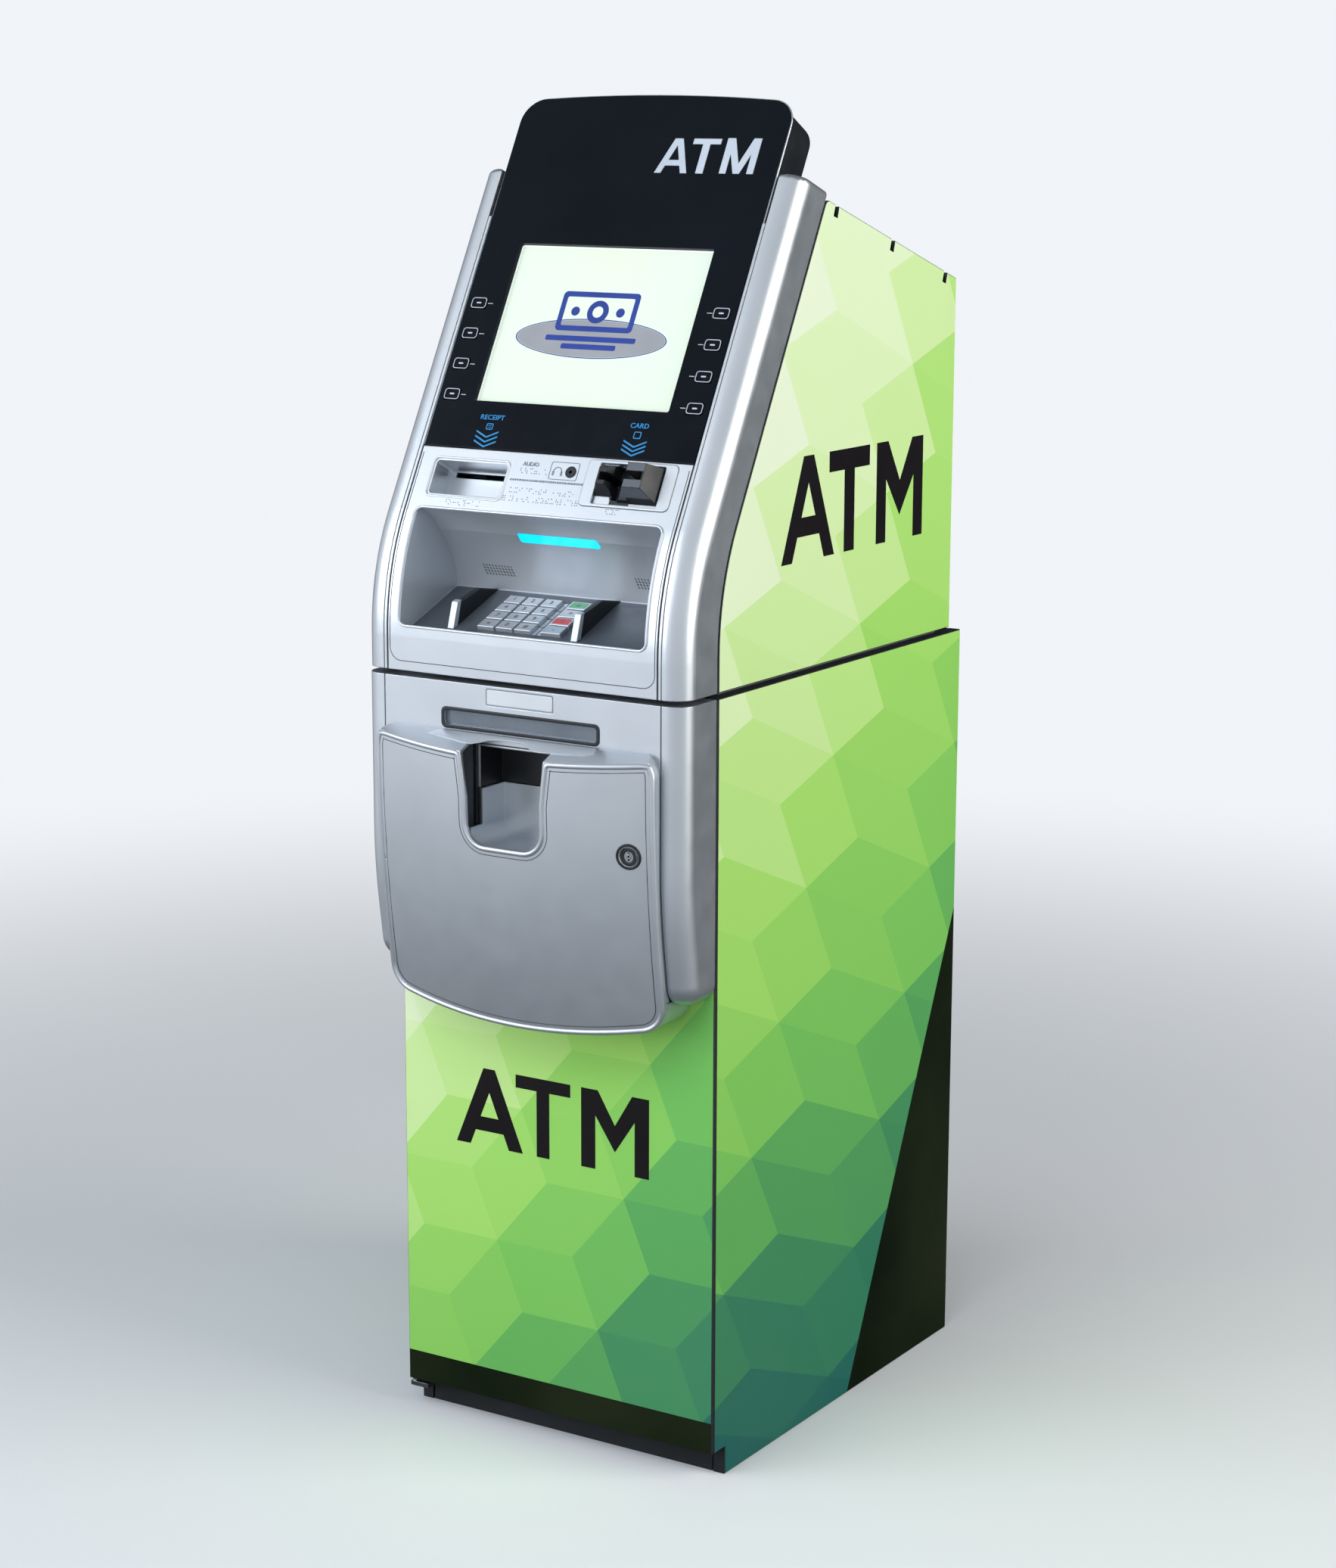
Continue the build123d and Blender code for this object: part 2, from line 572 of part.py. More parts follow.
# pins for the cover's hinge
cx, cy = COVER_AXIS
COVER_PINS = (652, 742)
for z in COVER_PINS:
    fascia_low += block(cx - 2, cx + 9, cy - 2, FRONT_Y + 1, z - 2, z + 2)
    fascia_low += Pos(cx, cy, z + 10) * Cylinder(2.0, 20)
keep("lower_fascia", fascia_low)

# ---------------------------------------------------------------- receptacle
COVER_FRONT = -97.0
SIDE_R = 1536.0
PLAN_SAG = 20.0
COVER_HALF = 173.5


def bulge(step):
    """Double-curved solid whose front is the cover's face set back by step."""
    edge_y = COVER_FRONT + PLAN_SAG * (178 / 170) ** 2 + step
    arc = ThreePointArc((-178, edge_y), (0, COVER_FRONT + step), (178, edge_y))
    edges = [arc, Line((178, edge_y), (178, -30)), Line((178, -30), (-178, -30))]
    edges += [Line((-178, -30), (-178, edge_y))]
    face = Pos(0, 0, 780) * make_face(Curve() + edges)
    spin = Axis((0, COVER_FRONT + SIDE_R, 780), (1, 0, 0))
    face = face.rotate(spin, -1.0)
    return revolve(face, spin, 12.4)


def cover_outline(inset):
    edges = [
        Line((-COVER_HALF, 508), (-COVER_HALF, 802)),
        Line((-COVER_HALF, 802), (COVER_HALF, 802)),
        Line((COVER_HALF, 802), (COVER_HALF, 508)),
        ThreePointArc((COVER_HALF, 508), (0, 488), (-COVER_HALF, 508)),
    ]
    face = make_face(Curve() + edges)
    face = fillet([v for v in face.vertices() if v.Y > 700], 28)
    face = fillet([v for v in face.vertices() if v.Y < 520], 30)
    return offset(face, -inset) if inset else face


def below_top(drop):
    """Everything under the shelf that slopes down to the front."""
    y0, z0 = COVER_FRONT - 20, 781.5 - 0.47 * 20 - drop
    y1, z1 = 0, 781.5 + 0.47 * 97 - drop
    return side_slab(Polygon((y0, 400), (y1, 400), (y1, z1), (y0, z0), align=None), -190, 190)


ahead = side_slab(falling_band(-80, -4, 470, 830), -190, 190)
cover = bulge(0) & front_slab(cover_outline(0), -115, -30) & below_top(0) & ahead
cavity = bulge(4) & front_slab(cover_outline(4.5), -115, -20) & below_top(4)
cover -= cavity
for z in COVER_PINS:
    cover -= block(cx - 8, cx + 12, cy - 3.4, -60, z - 3, z + 3)
    ear = block(cx - 3.4, cx + 4, cy - 4, cy + 3.3, z + 4, z + 18)
    ear = ear & bulge(2.0)
    cover += ear
    cover -= Pos(cx, cy, z + 10) * Cylinder(2.09, 20.6)
notch = Polygon((-55, 810), (55, 810), (46, 735), (46, 685), (-46, 685), (-46, 735), align=None)
notch = fillet([v for v in notch.vertices() if v.Y < 700], 22)
cover -= front_slab(notch, -120, -60)
LOCK = (145.5, 692.5)
cover -= Pos(LOCK[0], -80, LOCK[1]) * Rot(90, 0, 0) * Cylinder(10.07, 60)
boss = Pos(LOCK[0], -74, LOCK[1]) * Rot(90, 0, 0) * Cylinder(15, 9)
boss -= Pos(LOCK[0], -74, LOCK[1]) * Rot(90, 0, 0) * Cylinder(10.07, 40)
cover += boss & bulge(1.0)
keep("receptacle_cover", cover)

tube = front_slab(cover_outline(1.5) - cover_outline(7), -80, -0.4)
frame_ring = tube & block(-190, 190, -80, 0, 400, 535)
frame_ring = frame_ring & side_slab(falling_band(-2.4, 100, 470, 830), -190, 190)
frame_front = tube & side_slab(falling_band(-3.6, -0.1, 536, 830), -158, 190) & below_top(1)
frame_front = frame_front & block(-158, 190, -80, 0, 534, 900)
frame_all = frame_ring + frame_front
# neck between the cover and the throat of the tray
neck = front_slab(rect(-56, 56, 668, 792, 8) - rect(-52.5, 52.5, 671.5, 800, 6), -65.6, -62.1)
frame_all += neck & below_top(2)
hood_box = block(-52.4, 52.4, -61.9, -20, 739, 785) - block(-50, 50, -63, -22, 738, 783)
keep("receptacle_frame", frame_all + hood_box)

bucket = front_slab(rect(-50, 50, 678, 760, 20), -61.9, -20)
bucket -= front_slab(rect(-47, 47, 681, 800, 18), -62.5, -23)
bucket = bucket & block(-60, 60, -70, 0, 600, 738)
tongue = front_slab(rect(-50, 50, 678, 740, 20) - rect(-47, 47, 681, 780, 18), -84, -61.8)
tongue = tongue & block(-60, 60, -90, 0, 600, 700)
bucket += tongue
keep("cash_bucket", bucket)

shutter = block(-97, 97, -57.8, -55.8, 799, 819)
keep("note_shutter", shutter)

# lock works behind the cover
dial = Pos(DIAL[0], -18, DIAL[1]) * Rot(90, 0, 0) * Cylinder(34, 16)
dial += Pos(DIAL[0], -34, DIAL[1]) * Rot(90, 0, 0) * Cylinder(22, 16)
dial = try_fillet(dial, dial.edges().filter_by(GeomType.CIRCLE), 1.5)
dial += Pos(DIAL[0], 6, DIAL[1]) * Rot(90, 0, 0) * Cylinder(8.0, 36)
for n in range(24):
    turn = math.radians(n * 15)
    notch_pos = Pos(DIAL[0] + 22.6 * math.cos(turn), -34, DIAL[1] + 22.6 * math.sin(turn))
    dial -= notch_pos * Rot(90, 0, 0) * Cylinder(1.6, 20)
keep("vault_dial", dial)

lever = Pos(LEVER[0], -12, LEVER[1]) * Rot(90, 0, 0) * Cylinder(17, 20)
lever += block(LEVER[0] - 8, LEVER[0] + 8, -32, -20, LEVER[1] - 56, LEVER[1] + 8)
lever = try_fillet(lever, lever.edges().filter_by(Axis.Z), 3)
lever += Pos(LEVER[0], 10, LEVER[1]) * Rot(90, 0, 0) * Cylinder(8.0, 34)
keep("vault_lever", lever)

bolts = block(140, 156, 30, 50, 120, 760)
for z in (140, 440, 740):
    bolts += Pos(154, 40, z) * Rot(0, 90, 0) * Cylinder(8.0, 30)
keep("bolt_bar", bolts)

plug = Pos(LOCK[0], -72, LOCK[1]) * Rot(90, 0, 0) * Cylinder(10.0, 15)
plug -= block(LOCK[0] - 1, LOCK[0] + 1, -85, -74, LOCK[1] - 4.5, LOCK[1] + 4.5)
plug += block(LOCK[0] - 5, LOCK[0] + 5, -69, -66.6, LOCK[1] - 22, LOCK[1] + 2)
keep("cover_lock", plug)
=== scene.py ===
# %% [markdown]
# # A free-standing cash machine
# The cabinet is folded steel with a printed vinyl wrap, and its front is moulded in silver plastic.
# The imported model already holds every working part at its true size, so this lesson only dresses
# it: it gives each part a finish, and adds the thin things that sit on top of the parts, such as
# the printed sheets, the beaded rims, the key digits and the raised dots.

import json
import math
import random

import bmesh
import bpy
from mathutils import Matrix, Vector

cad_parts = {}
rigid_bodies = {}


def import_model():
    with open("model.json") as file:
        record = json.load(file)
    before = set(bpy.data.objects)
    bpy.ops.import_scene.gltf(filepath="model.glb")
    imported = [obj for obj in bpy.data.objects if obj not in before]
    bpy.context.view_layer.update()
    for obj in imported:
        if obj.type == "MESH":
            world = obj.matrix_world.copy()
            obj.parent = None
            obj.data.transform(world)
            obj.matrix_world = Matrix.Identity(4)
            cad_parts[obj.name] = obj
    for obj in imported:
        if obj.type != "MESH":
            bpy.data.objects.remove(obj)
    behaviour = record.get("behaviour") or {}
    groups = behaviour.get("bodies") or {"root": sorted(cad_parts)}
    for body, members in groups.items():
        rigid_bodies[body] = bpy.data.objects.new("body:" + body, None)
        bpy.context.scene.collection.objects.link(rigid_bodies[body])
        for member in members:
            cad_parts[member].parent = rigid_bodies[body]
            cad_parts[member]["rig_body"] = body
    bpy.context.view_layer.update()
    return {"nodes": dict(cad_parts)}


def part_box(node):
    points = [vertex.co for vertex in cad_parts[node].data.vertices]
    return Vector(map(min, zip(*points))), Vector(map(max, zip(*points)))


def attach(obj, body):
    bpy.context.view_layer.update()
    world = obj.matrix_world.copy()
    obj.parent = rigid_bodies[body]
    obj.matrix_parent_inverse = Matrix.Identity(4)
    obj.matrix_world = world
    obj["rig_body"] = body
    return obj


for leftover in list(bpy.data.objects):
    bpy.data.objects.remove(leftover)
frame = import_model()
nodes = frame["nodes"]

# %% [markdown]
# ## Working planes
# Most of the added pieces are flat shapes drawn on one of the cabinet's faces. Each face gets its
# own drawing plane: local x runs to the right, y runs up and z points out of the face, all in
# millimetres. One matrix for each plane then carries a finished shape to its place in metres.

# %% Drawing planes on the cabinet's faces
MM = 0.001
DOOR_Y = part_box("door_skin")[0].y / MM
HALF_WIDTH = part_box("lower_side_panels")[1].x / MM
FASCIA_Y = -62.0
LEAN = math.radians(28.7)
BEND_RADIUS = 270.0
LEAN_CORNER_Z = 958.5
PANEL_LOW_Z = 1082.4
PANEL_LOW_Y = FASCIA_Y + (PANEL_LOW_Z - LEAN_CORNER_Z) * math.tan(LEAN)
DECK_SLOPE = math.atan2(38.0, 97.0)


def drawing_plane(origin, right, up):
    """Matrix from local millimetres on a face to metres in the shared frame."""
    right = Vector(right)
    up = Vector(up)
    turn = Matrix((right, up, right.cross(up))).transposed().to_4x4()
    start = Vector((origin[0], origin[1] + DOOR_Y, origin[2]))
    return Matrix.Scale(MM, 4) @ Matrix.Translation(start) @ turn


lean_up = (0, math.sin(LEAN), math.cos(LEAN))
SLOPE = drawing_plane((0, PANEL_LOW_Y, PANEL_LOW_Z), (1, 0, 0), lean_up)
DOOR = drawing_plane((0, 0, 0), (1, 0, 0), (0, 0, 1))
FASCIA = drawing_plane((0, FASCIA_Y, 0), (1, 0, 0), (0, 0, 1))
RIGHT_SIDE = drawing_plane((HALF_WIDTH, 0, 0), (0, 1, 0), (0, 0, 1))
LEFT_SIDE = drawing_plane((-HALF_WIDTH, 0, 0), (0, -1, 0), (0, 0, 1))
deck_up = (0, math.cos(DECK_SLOPE), math.sin(DECK_SLOPE))
KEYPAD_Y = -4.0
KEYPAD_Z = 892.0 + (KEYPAD_Y + 55.0) * math.tan(DECK_SLOPE)
DECK = drawing_plane((0, KEYPAD_Y, KEYPAD_Z), (1, 0, 0), deck_up)
print("door plane at", round(DOOR_Y, 2), "mm, half width", round(HALF_WIDTH, 2), "mm")

# %% [markdown]
# ## Camera
# A long lens from the right, a little above the keypad, keeps the upright edges of the cabinet
# parallel. The three angles and the place below are the only things that set the view.

# %% Place the camera
camera_data = bpy.data.cameras.new("camera")
camera_data.lens = 75.09
camera_data.sensor_width = 36.0
camera_data.clip_end = 200.0
camera = bpy.data.objects.new("camera", camera_data)
bpy.context.scene.collection.objects.link(camera)
CAMERA_TURN = math.radians(32.246)
CAMERA_DOWN = math.radians(11.913)
CAMERA_ROLL = math.radians(0.178)
look = Matrix.Rotation(CAMERA_TURN, 4, "Z") @ Matrix.Rotation(math.pi / 2 - CAMERA_DOWN, 4, "X")
camera.matrix_world = (
    Matrix.Translation((1.89422, -3.04741, 1.44608)) @ look @ Matrix.Rotation(CAMERA_ROLL, 4, "Z")
)
bpy.context.scene.camera = camera
bpy.context.scene.view_settings.view_transform = "Standard"
print("camera at", [round(v, 3) for v in camera.location])

# %% [markdown]
# ## Floor and light
# Silver plastic only looks silver when it has something bright and something dark to mirror. A tall
# soft light on the front left fills the front faces, a second one lights the wrapped side, and the
# surroundings grow darker towards the back right so that the column sides turn grey.

# %% Soft lights
def paint(code):
    """A colour written as six hex digits, turned into the linear values a shader expects."""
    parts = [int(code[i : i + 2], 16) / 255 for i in (0, 2, 4)]
    linear = [p / 12.92 if p <= 0.04045 else ((p + 0.055) / 1.055) ** 2.4 for p in parts]
    return (*linear, 1.0)


def add_node(nodes, kind, **values):
    """A new shader node; values name its inputs, with _ for a space."""
    node = nodes.new("ShaderNode" + kind)
    for name, value in values.items():
        node.inputs[name.replace("_", " ")].default_value = value
    return node


def soft_light(name, place, target, width, height, watts, tint, mirrored):
    data = bpy.data.lights.new(name, "AREA")
    data.shape = "RECTANGLE"
    data.size = width
    data.size_y = height
    data.energy = watts
    data.color = paint(tint)[:3]
    lamp = bpy.data.objects.new(name, data)
    lamp.visible_glossy = mirrored
    bpy.context.scene.collection.objects.link(lamp)
    aim = Vector(target) - Vector(place)
    turn = aim.to_track_quat("-Z", "Y").to_matrix().to_4x4()
    lamp.matrix_world = Matrix.Translation(place) @ turn
    return lamp


SOFT_LIGHTS = (
    ("front_left_softbox", (-2.6, -3.2, 2.1), (0, -0.2, 0.9), 2.4, 2.8, 66, "f4f8ff", True),
    ("right_softbox", (3.6, 0.5, 2.0), (0.2, 0, 0.7), 2.6, 3.4, 118, "fffdf6", True),
    ("top_softbox", (0.1, -2.5, 3.3), (0, 0, 0.9), 2.6, 1.6, 30, "f8fbff", False),
    ("front_fill", (-0.4, -3.8, 0.9), (0, -0.2, 0.6), 2.0, 1.4, 26, "fbfdff", False),
)
for light in SOFT_LIGHTS:
    soft_light(*light)
print("lights:", [light[0] for light in SOFT_LIGHTS])

# %% Floor
floor_bm = bmesh.new()
bmesh.ops.create_circle(floor_bm, cap_ends=True, segments=96, radius=30.0)
floor_mesh = bpy.data.meshes.new("floor")
floor_bm.to_mesh(floor_mesh)
floor_bm.free()
floor = bpy.data.objects.new("floor", floor_mesh)
bpy.context.scene.collection.objects.link(floor)
floor_finish = bpy.data.materials.new("pale_floor")
floor_finish.use_nodes = True
fn = floor_finish.node_tree.nodes
fl = floor_finish.node_tree.links
floor_shader = fn["Principled BSDF"]
floor_shader.inputs["Base Color"].default_value = paint("f0f3f7")
floor_shader.inputs["Roughness"].default_value = 0.7
place_on_floor = add_node(fn, "NewGeometry")
distance = add_node(fn, "VectorMath")
distance.operation = "LENGTH"
fl.new(place_on_floor.outputs["Position"], distance.inputs[0])


def fade(start, end):
    node = add_node(fn, "MapRange", From_Min=start, From_Max=end)
    node.interpolation_type = "SMOOTHSTEP"
    fl.new(distance.outputs["Value"], node.inputs["Value"])
    return node.outputs["Result"]


def mix_shaders(factor, first, second):
    node = add_node(fn, "MixShader")
    fl.new(factor, node.inputs["Fac"])
    fl.new(first, node.inputs[1])
    fl.new(second, node.inputs[2])
    return node.outputs["Shader"]


def glow(code, strength):
    return add_node(fn, "Emission", Color=paint(code), Strength=strength).outputs["Emission"]


BACKDROP = "f4f7fb"
BACKDROP_LEVEL = 0.97
HORIZON = 3.4
dim = add_node(fn, "BsdfDiffuse", Color=paint("5c5f64"))
far_glow = glow(BACKDROP, BACKDROP_LEVEL)
looked_at = mix_shaders(fade(1.0, HORIZON), floor_shader.outputs["BSDF"], far_glow)
behind = add_node(fn, "VectorMath")
behind.operation = "DOT_PRODUCT"
behind.inputs[1].default_value = (0.15, 1.0, 0.0)
fl.new(place_on_floor.outputs["Position"], behind.inputs[0])
at_the_back = add_node(fn, "MapRange", From_Min=-0.4, From_Max=1.2)
fl.new(behind.outputs["Value"], at_the_back.inputs["Value"])
far_floor = mix_shaders(at_the_back.outputs["Result"], glow("eef2f7", 0.70), glow("474e57", 0.5))
mirrored_floor = mix_shaders(fade(0.6, HORIZON), dim.outputs["BSDF"], far_floor)
floor_ray = add_node(fn, "LightPath")
floor_out = mix_shaders(floor_ray.outputs["Is Camera Ray"], mirrored_floor, looked_at)
fl.new(floor_out, fn["Material Output"].inputs["Surface"])
floor_mesh.materials.append(floor_finish)
print("floor radius:", round(floor.dimensions.x / 2, 1), "m")

# %% Surroundings
world = bpy.data.worlds.new("surroundings")
world.use_nodes = True
bpy.context.scene.world = world
wn = world.node_tree.nodes
wl = world.node_tree.links
wn.clear()
sky_out = add_node(wn, "OutputWorld")
seen = add_node(wn, "Background", Color=paint(BACKDROP), Strength=BACKDROP_LEVEL)
lit = add_node(wn, "Background", Strength=0.74)
direction = add_node(wn, "TexCoord")
towards = add_node(wn, "VectorMath")
towards.operation = "DOT_PRODUCT"
towards.inputs[1].default_value = (0.15, 0.84, 0.52)
shade = add_node(wn, "ValToRGB")
pale_end, dark_end = shade.color_ramp.elements
pale_end.position = 0.0
pale_end.color = paint("eef3f8")
dark_end.position = 0.42
dark_end.color = paint("3c434c")
chooser = add_node(wn, "MixShader")
ray = add_node(wn, "LightPath")
wl.new(direction.outputs["Generated"], towards.inputs[0])
wl.new(towards.outputs["Value"], shade.inputs["Fac"])
wl.new(shade.outputs["Color"], lit.inputs["Color"])
wl.new(ray.outputs["Is Camera Ray"], chooser.inputs["Fac"])
wl.new(lit.outputs["Background"], chooser.inputs[1])
wl.new(seen.outputs["Background"], chooser.inputs[2])
wl.new(chooser.outputs["Shader"], sky_out.inputs["Surface"])
print("surroundings darken towards", [round(v, 2) for v in towards.inputs[1].default_value])

# %% [markdown]
# ## Finishes
# Every finish here is the same short recipe with different numbers. A soft cloud shifts the colour
# a little, a finer noise shifts the roughness, a third gives the surface its grain as bump, and a
# rounded-edge normal catches light along the corners as a moulded or folded part does. Handled
# edges also turn slightly paler or darker, which the wear colour gives.

# %% The finish recipe
class Recipe:
    """A material's nodes, with short calls for adding and joining them."""

    def __init__(self, name):
        self.material = bpy.data.materials.new(name)
        self.material.use_nodes = True
        self.nodes = self.material.node_tree.nodes
        self.links = self.material.node_tree.links
        self.shader = self.nodes["Principled BSDF"]
        self.where = add_node(self.nodes, "TexCoord").outputs["Object"]

    def join(self, output, target):
        self.links.new(output, target)

    def noise(self, scale, detail):
        node = add_node(self.nodes, "TexNoise", Scale=scale, Detail=detail)
        self.join(self.where, node.inputs["Vector"])
        return node.outputs["Fac"]

    def spread(self, value, low, high, start=0.3, end=0.7):
        node = add_node(self.nodes, "MapRange", From_Min=start, From_Max=end, To_Min=low,
                        To_Max=high)
        self.join(value, node.inputs["Value"])
        return node.outputs["Result"]

    def blend(self, factor, first, second):
        node = add_node(self.nodes, "Mix")
        node.data_type = "RGBA"
        self.join(factor, node.inputs["Factor"])
        for value, socket in ((first, node.inputs["A"]), (second, node.inputs["B"])):
            if isinstance(value, tuple):
                socket.default_value = value
            else:
                self.join(value, socket)
        return node.outputs["Result"]

    def rounded_edges(self, radius):
        node = add_node(self.nodes, "Bevel", Radius=radius)
        node.samples = 4
        return node.outputs["Normal"]

    def edge_mask(self, rounded, reach=0.16):
        geometry = add_node(self.nodes, "NewGeometry")
        along = add_node(self.nodes, "VectorMath")
        along.operation = "DOT_PRODUCT"
        self.join(rounded, along.inputs[0])
        self.join(geometry.outputs["Normal"], along.inputs[1])
        return self.spread(along.outputs["Value"], 1.0, 0.0, 1.0 - reach, 1.0)

    def grain(self, height, strength, depth, normal=None):
        node = add_node(self.nodes, "Bump", Strength=strength, Distance=depth)
        self.join(height, node.inputs["Height"])
        if normal is not None:
            self.join(normal, node.inputs["Normal"])
        return node.outputs["Normal"]


def surface_finish(name, colour, cloud, rough, metal=0.0, grain=(900, 0.06), coat=0.0, edge=0.0008,
                   wear=None, cloud_scale=9.0, specular=0.5, colour_from=None):
    """One painted, moulded or bare finish; colour and cloud are hex codes."""
    r = Recipe(name)
    base = colour_from(r) if colour_from else paint(colour)
    clouds = r.spread(r.noise(cloud_scale, 4.0), 0.0, 1.0)
    if colour_from:
        tinted = r.blend(r.spread(clouds, 0.0, 0.04, 0.0, 1.0), base, paint(cloud))
    else:
        tinted = r.blend(clouds, base, paint(cloud))
    rounded = r.rounded_edges(edge)
    if wear:
        chipped = r.noise(160, 2.0)
        mask = add_node(r.nodes, "Math")
        mask.operation = "MULTIPLY"
        r.join(r.edge_mask(rounded), mask.inputs[0])
        r.join(r.spread(chipped, 0.0, 0.8, 0.42, 0.62), mask.inputs[1])
        tinted = r.blend(mask.outputs["Value"], tinted, paint(wear))
    r.join(tinted, r.shader.inputs["Base Color"])
    r.join(r.spread(r.noise(38, 5.0), rough[0], rough[1]), r.shader.inputs["Roughness"])
    r.join(r.grain(r.noise(grain[0], 2.0), grain[1], 0.0004, rounded), r.shader.inputs["Normal"])
    r.shader.inputs["Metallic"].default_value = metal
    r.shader.inputs["Coat Weight"].default_value = coat
    r.shader.inputs["Coat Roughness"].default_value = 0.12
    r.shader.inputs["Specular IOR Level"].default_value = specular
    return r.material


silver = surface_finish(
    "silver_paint", "d4dae1", "ced5dc", (0.32, 0.38), metal=0.85, grain=(1500, 0.05), coat=0.12,
    edge=0.0014, wear="eaf0f6",
)
# A paler copy of the silver paint. On the label plate it is the plate's own colour; on the beaded
# rims of the keypad recess and the receipt pocket its paleness is a painted highlight.
pale_silver_and_rim_highlight = surface_finish(
    "rim_highlight_and_pale_silver_paint", "dfe5eb", "d4dbe2", (0.28, 0.38), metal=0.6, grain=(1500, 0.05),
    coat=0.2, edge=0.0010, wear="f2f6fa",
)
# A slightly darker, less metallic copy of the silver paint with darker wear, for the keypad recess
# and the lip over the notch: its darker tone is painted shade.
silver_for_painted_shade_and_highlight = surface_finish(
    "silver_copy_painted_shade_and_highlight", "cbd2da", "c2cad3", (0.34, 0.42), metal=0.5, grain=(1400, 0.06), coat=0.1,
    edge=0.0014, wear="b4bdc7",
)
black_gloss = surface_finish(
    "black_gloss_panel", "060c14", "0a1019", (0.18, 0.28), grain=(300, 0.01), edge=0.0008,
    wear="3c4650", specular=0.10,
)
deck_grey = surface_finish(
    "dark_deck_paint", "5f666e", "575e66", (0.40, 0.52), metal=0.4, grain=(900, 0.12), edge=0.0006,
    wear="8b939c",
)
black_satin = surface_finish(
    "black_satin_plastic", "14171b", "1b1f24", (0.32, 0.46), grain=(1200, 0.10), edge=0.0008,
    wear="4b525a",
)
charcoal = surface_finish(
    "charcoal_powder_coat", "26292e", "202327", (0.45, 0.6), grain=(700, 0.22), edge=0.0008,
    wear="6a7078",
)
grey_steel = surface_finish(
    "grey_painted_steel", "8d949b", "7f868d", (0.42, 0.55), grain=(600, 0.18), edge=0.0008,
    wear="b9bfc6",
)
bare_steel = surface_finish(
    "bright_turned_steel", "b4b8bd", "9da2a8", (0.18, 0.34), metal=1.0, grain=(500, 0.06),
    edge=0.0005, wear="e6e9ec",
)
safe_steel = surface_finish(
    "safe_body_steel", "4a4f55", "3f4449", (0.40, 0.58), metal=0.35, grain=(500, 0.22), edge=0.001,
    wear="8f969e",
)
key_metal = surface_finish(
    "satin_key_metal", "c9ced4", "bcc2c9", (0.26, 0.40), metal=0.6, grain=(900, 0.05), edge=0.0007,
    wear="eef1f4", cloud_scale=40,
)
key_green = surface_finish(
    "green_key_paint", "5fae7d", "549f70", (0.30, 0.42), grain=(900, 0.05), edge=0.0007,
    wear="9fd2b2", cloud_scale=40,
)
key_red = surface_finish(
    "red_key_paint", "d1474b", "c23d42", (0.30, 0.42), grain=(900, 0.05), edge=0.0007,
    wear="eb9a9a", cloud_scale=40,
)
paper = surface_finish("thermal_paper", "f2f1ec", "e8e7e0", (0.6, 0.75), grain=(700, 0.1))
dark_ink = surface_finish("dark_ink", "4d545c", "575f68", (0.35, 0.5), grain=(800, 0.05))
pale_ink = surface_finish("pale_printed_ink", "c2ccd8", "b6c1ce", (0.3, 0.42), grain=(800, 0.05))
blue_ink = surface_finish("blue_printed_ink", "1a8fd2", "1481c2", (0.3, 0.4), grain=(800, 0.05))
letter_vinyl = surface_finish(
    "black_letter_vinyl", "161316", "1c191c", (0.42, 0.54), grain=(300, 0.06), edge=0.0002,
    specular=0.12,
)
smoked = surface_finish(
    "smoked_flap_plastic", "7c8590", "707984", (0.20, 0.32), metal=0.6, grain=(600, 0.04),
    coat=0.4, edge=0.0003,
)
groove_painted_shadow = surface_finish(
    "groove_shadow_paint", "3b4148", "464d55", (0.5, 0.65), grain=(900, 0.1),
)
grey_line = surface_finish("grey_line_paint", "868e97", "7a828b", (0.4, 0.55), grain=(900, 0.08))
# Near-black finish for the loudspeaker grilles: painted shade where the holes would be.
hole_shade_black = surface_finish("painted_hole_shade", "0d0f12", "14171b", (0.55, 0.7), grain=(800, 0.15))
print("finishes:", len(bpy.data.materials))

# %% [markdown]
# ## Lit things
# The screen and the guide lamp glow. Their colour is painted as emission, with a slow cloud in it
# because a backlight is never quite even.

# %% Screen and lamp finishes
def glowing(name, colour, cloud, strength, cloud_scale):
    r = Recipe(name)
    tone = r.blend(r.spread(r.noise(cloud_scale, 2.0), 0.0, 1.0), paint(colour), paint(cloud))
    r.join(tone, r.shader.inputs["Base Color"])
    r.join(tone, r.shader.inputs["Emission Color"])
    r.shader.inputs["Emission Strength"].default_value = strength
    r.join(r.spread(r.noise(60, 3.0), 0.12, 0.2), r.shader.inputs["Roughness"])
    r.join(r.grain(r.noise(1200, 1.0), 0.02, 0.0002), r.shader.inputs["Normal"])
    return r.material


screen_glow = glowing("screen_backlight", "dbe9dd", "dfead4", 0.07, 5)
lamp_glow = glowing("cyan_guide_lamp", "00c8ff", "14d2ff", 0.95, 30)
screen_border = glowing("screen_border_glow", "f4fbf7", "eef9f2", 0.3, 8)
screen_blue = glowing("screen_blue_print", "1d3788", "243f92", 0.10, 20)
screen_grey = glowing("screen_grey_print", "8f9298", "989ba1", 0.06, 20)
print("lit finishes:", screen_glow.name, lamp_glow.name)

# %% [markdown]
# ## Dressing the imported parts
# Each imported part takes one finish. Folded steel is powder coated, the moulded front is silver
# paint, handles and pins are bare steel, and everything that frames a slot is black.

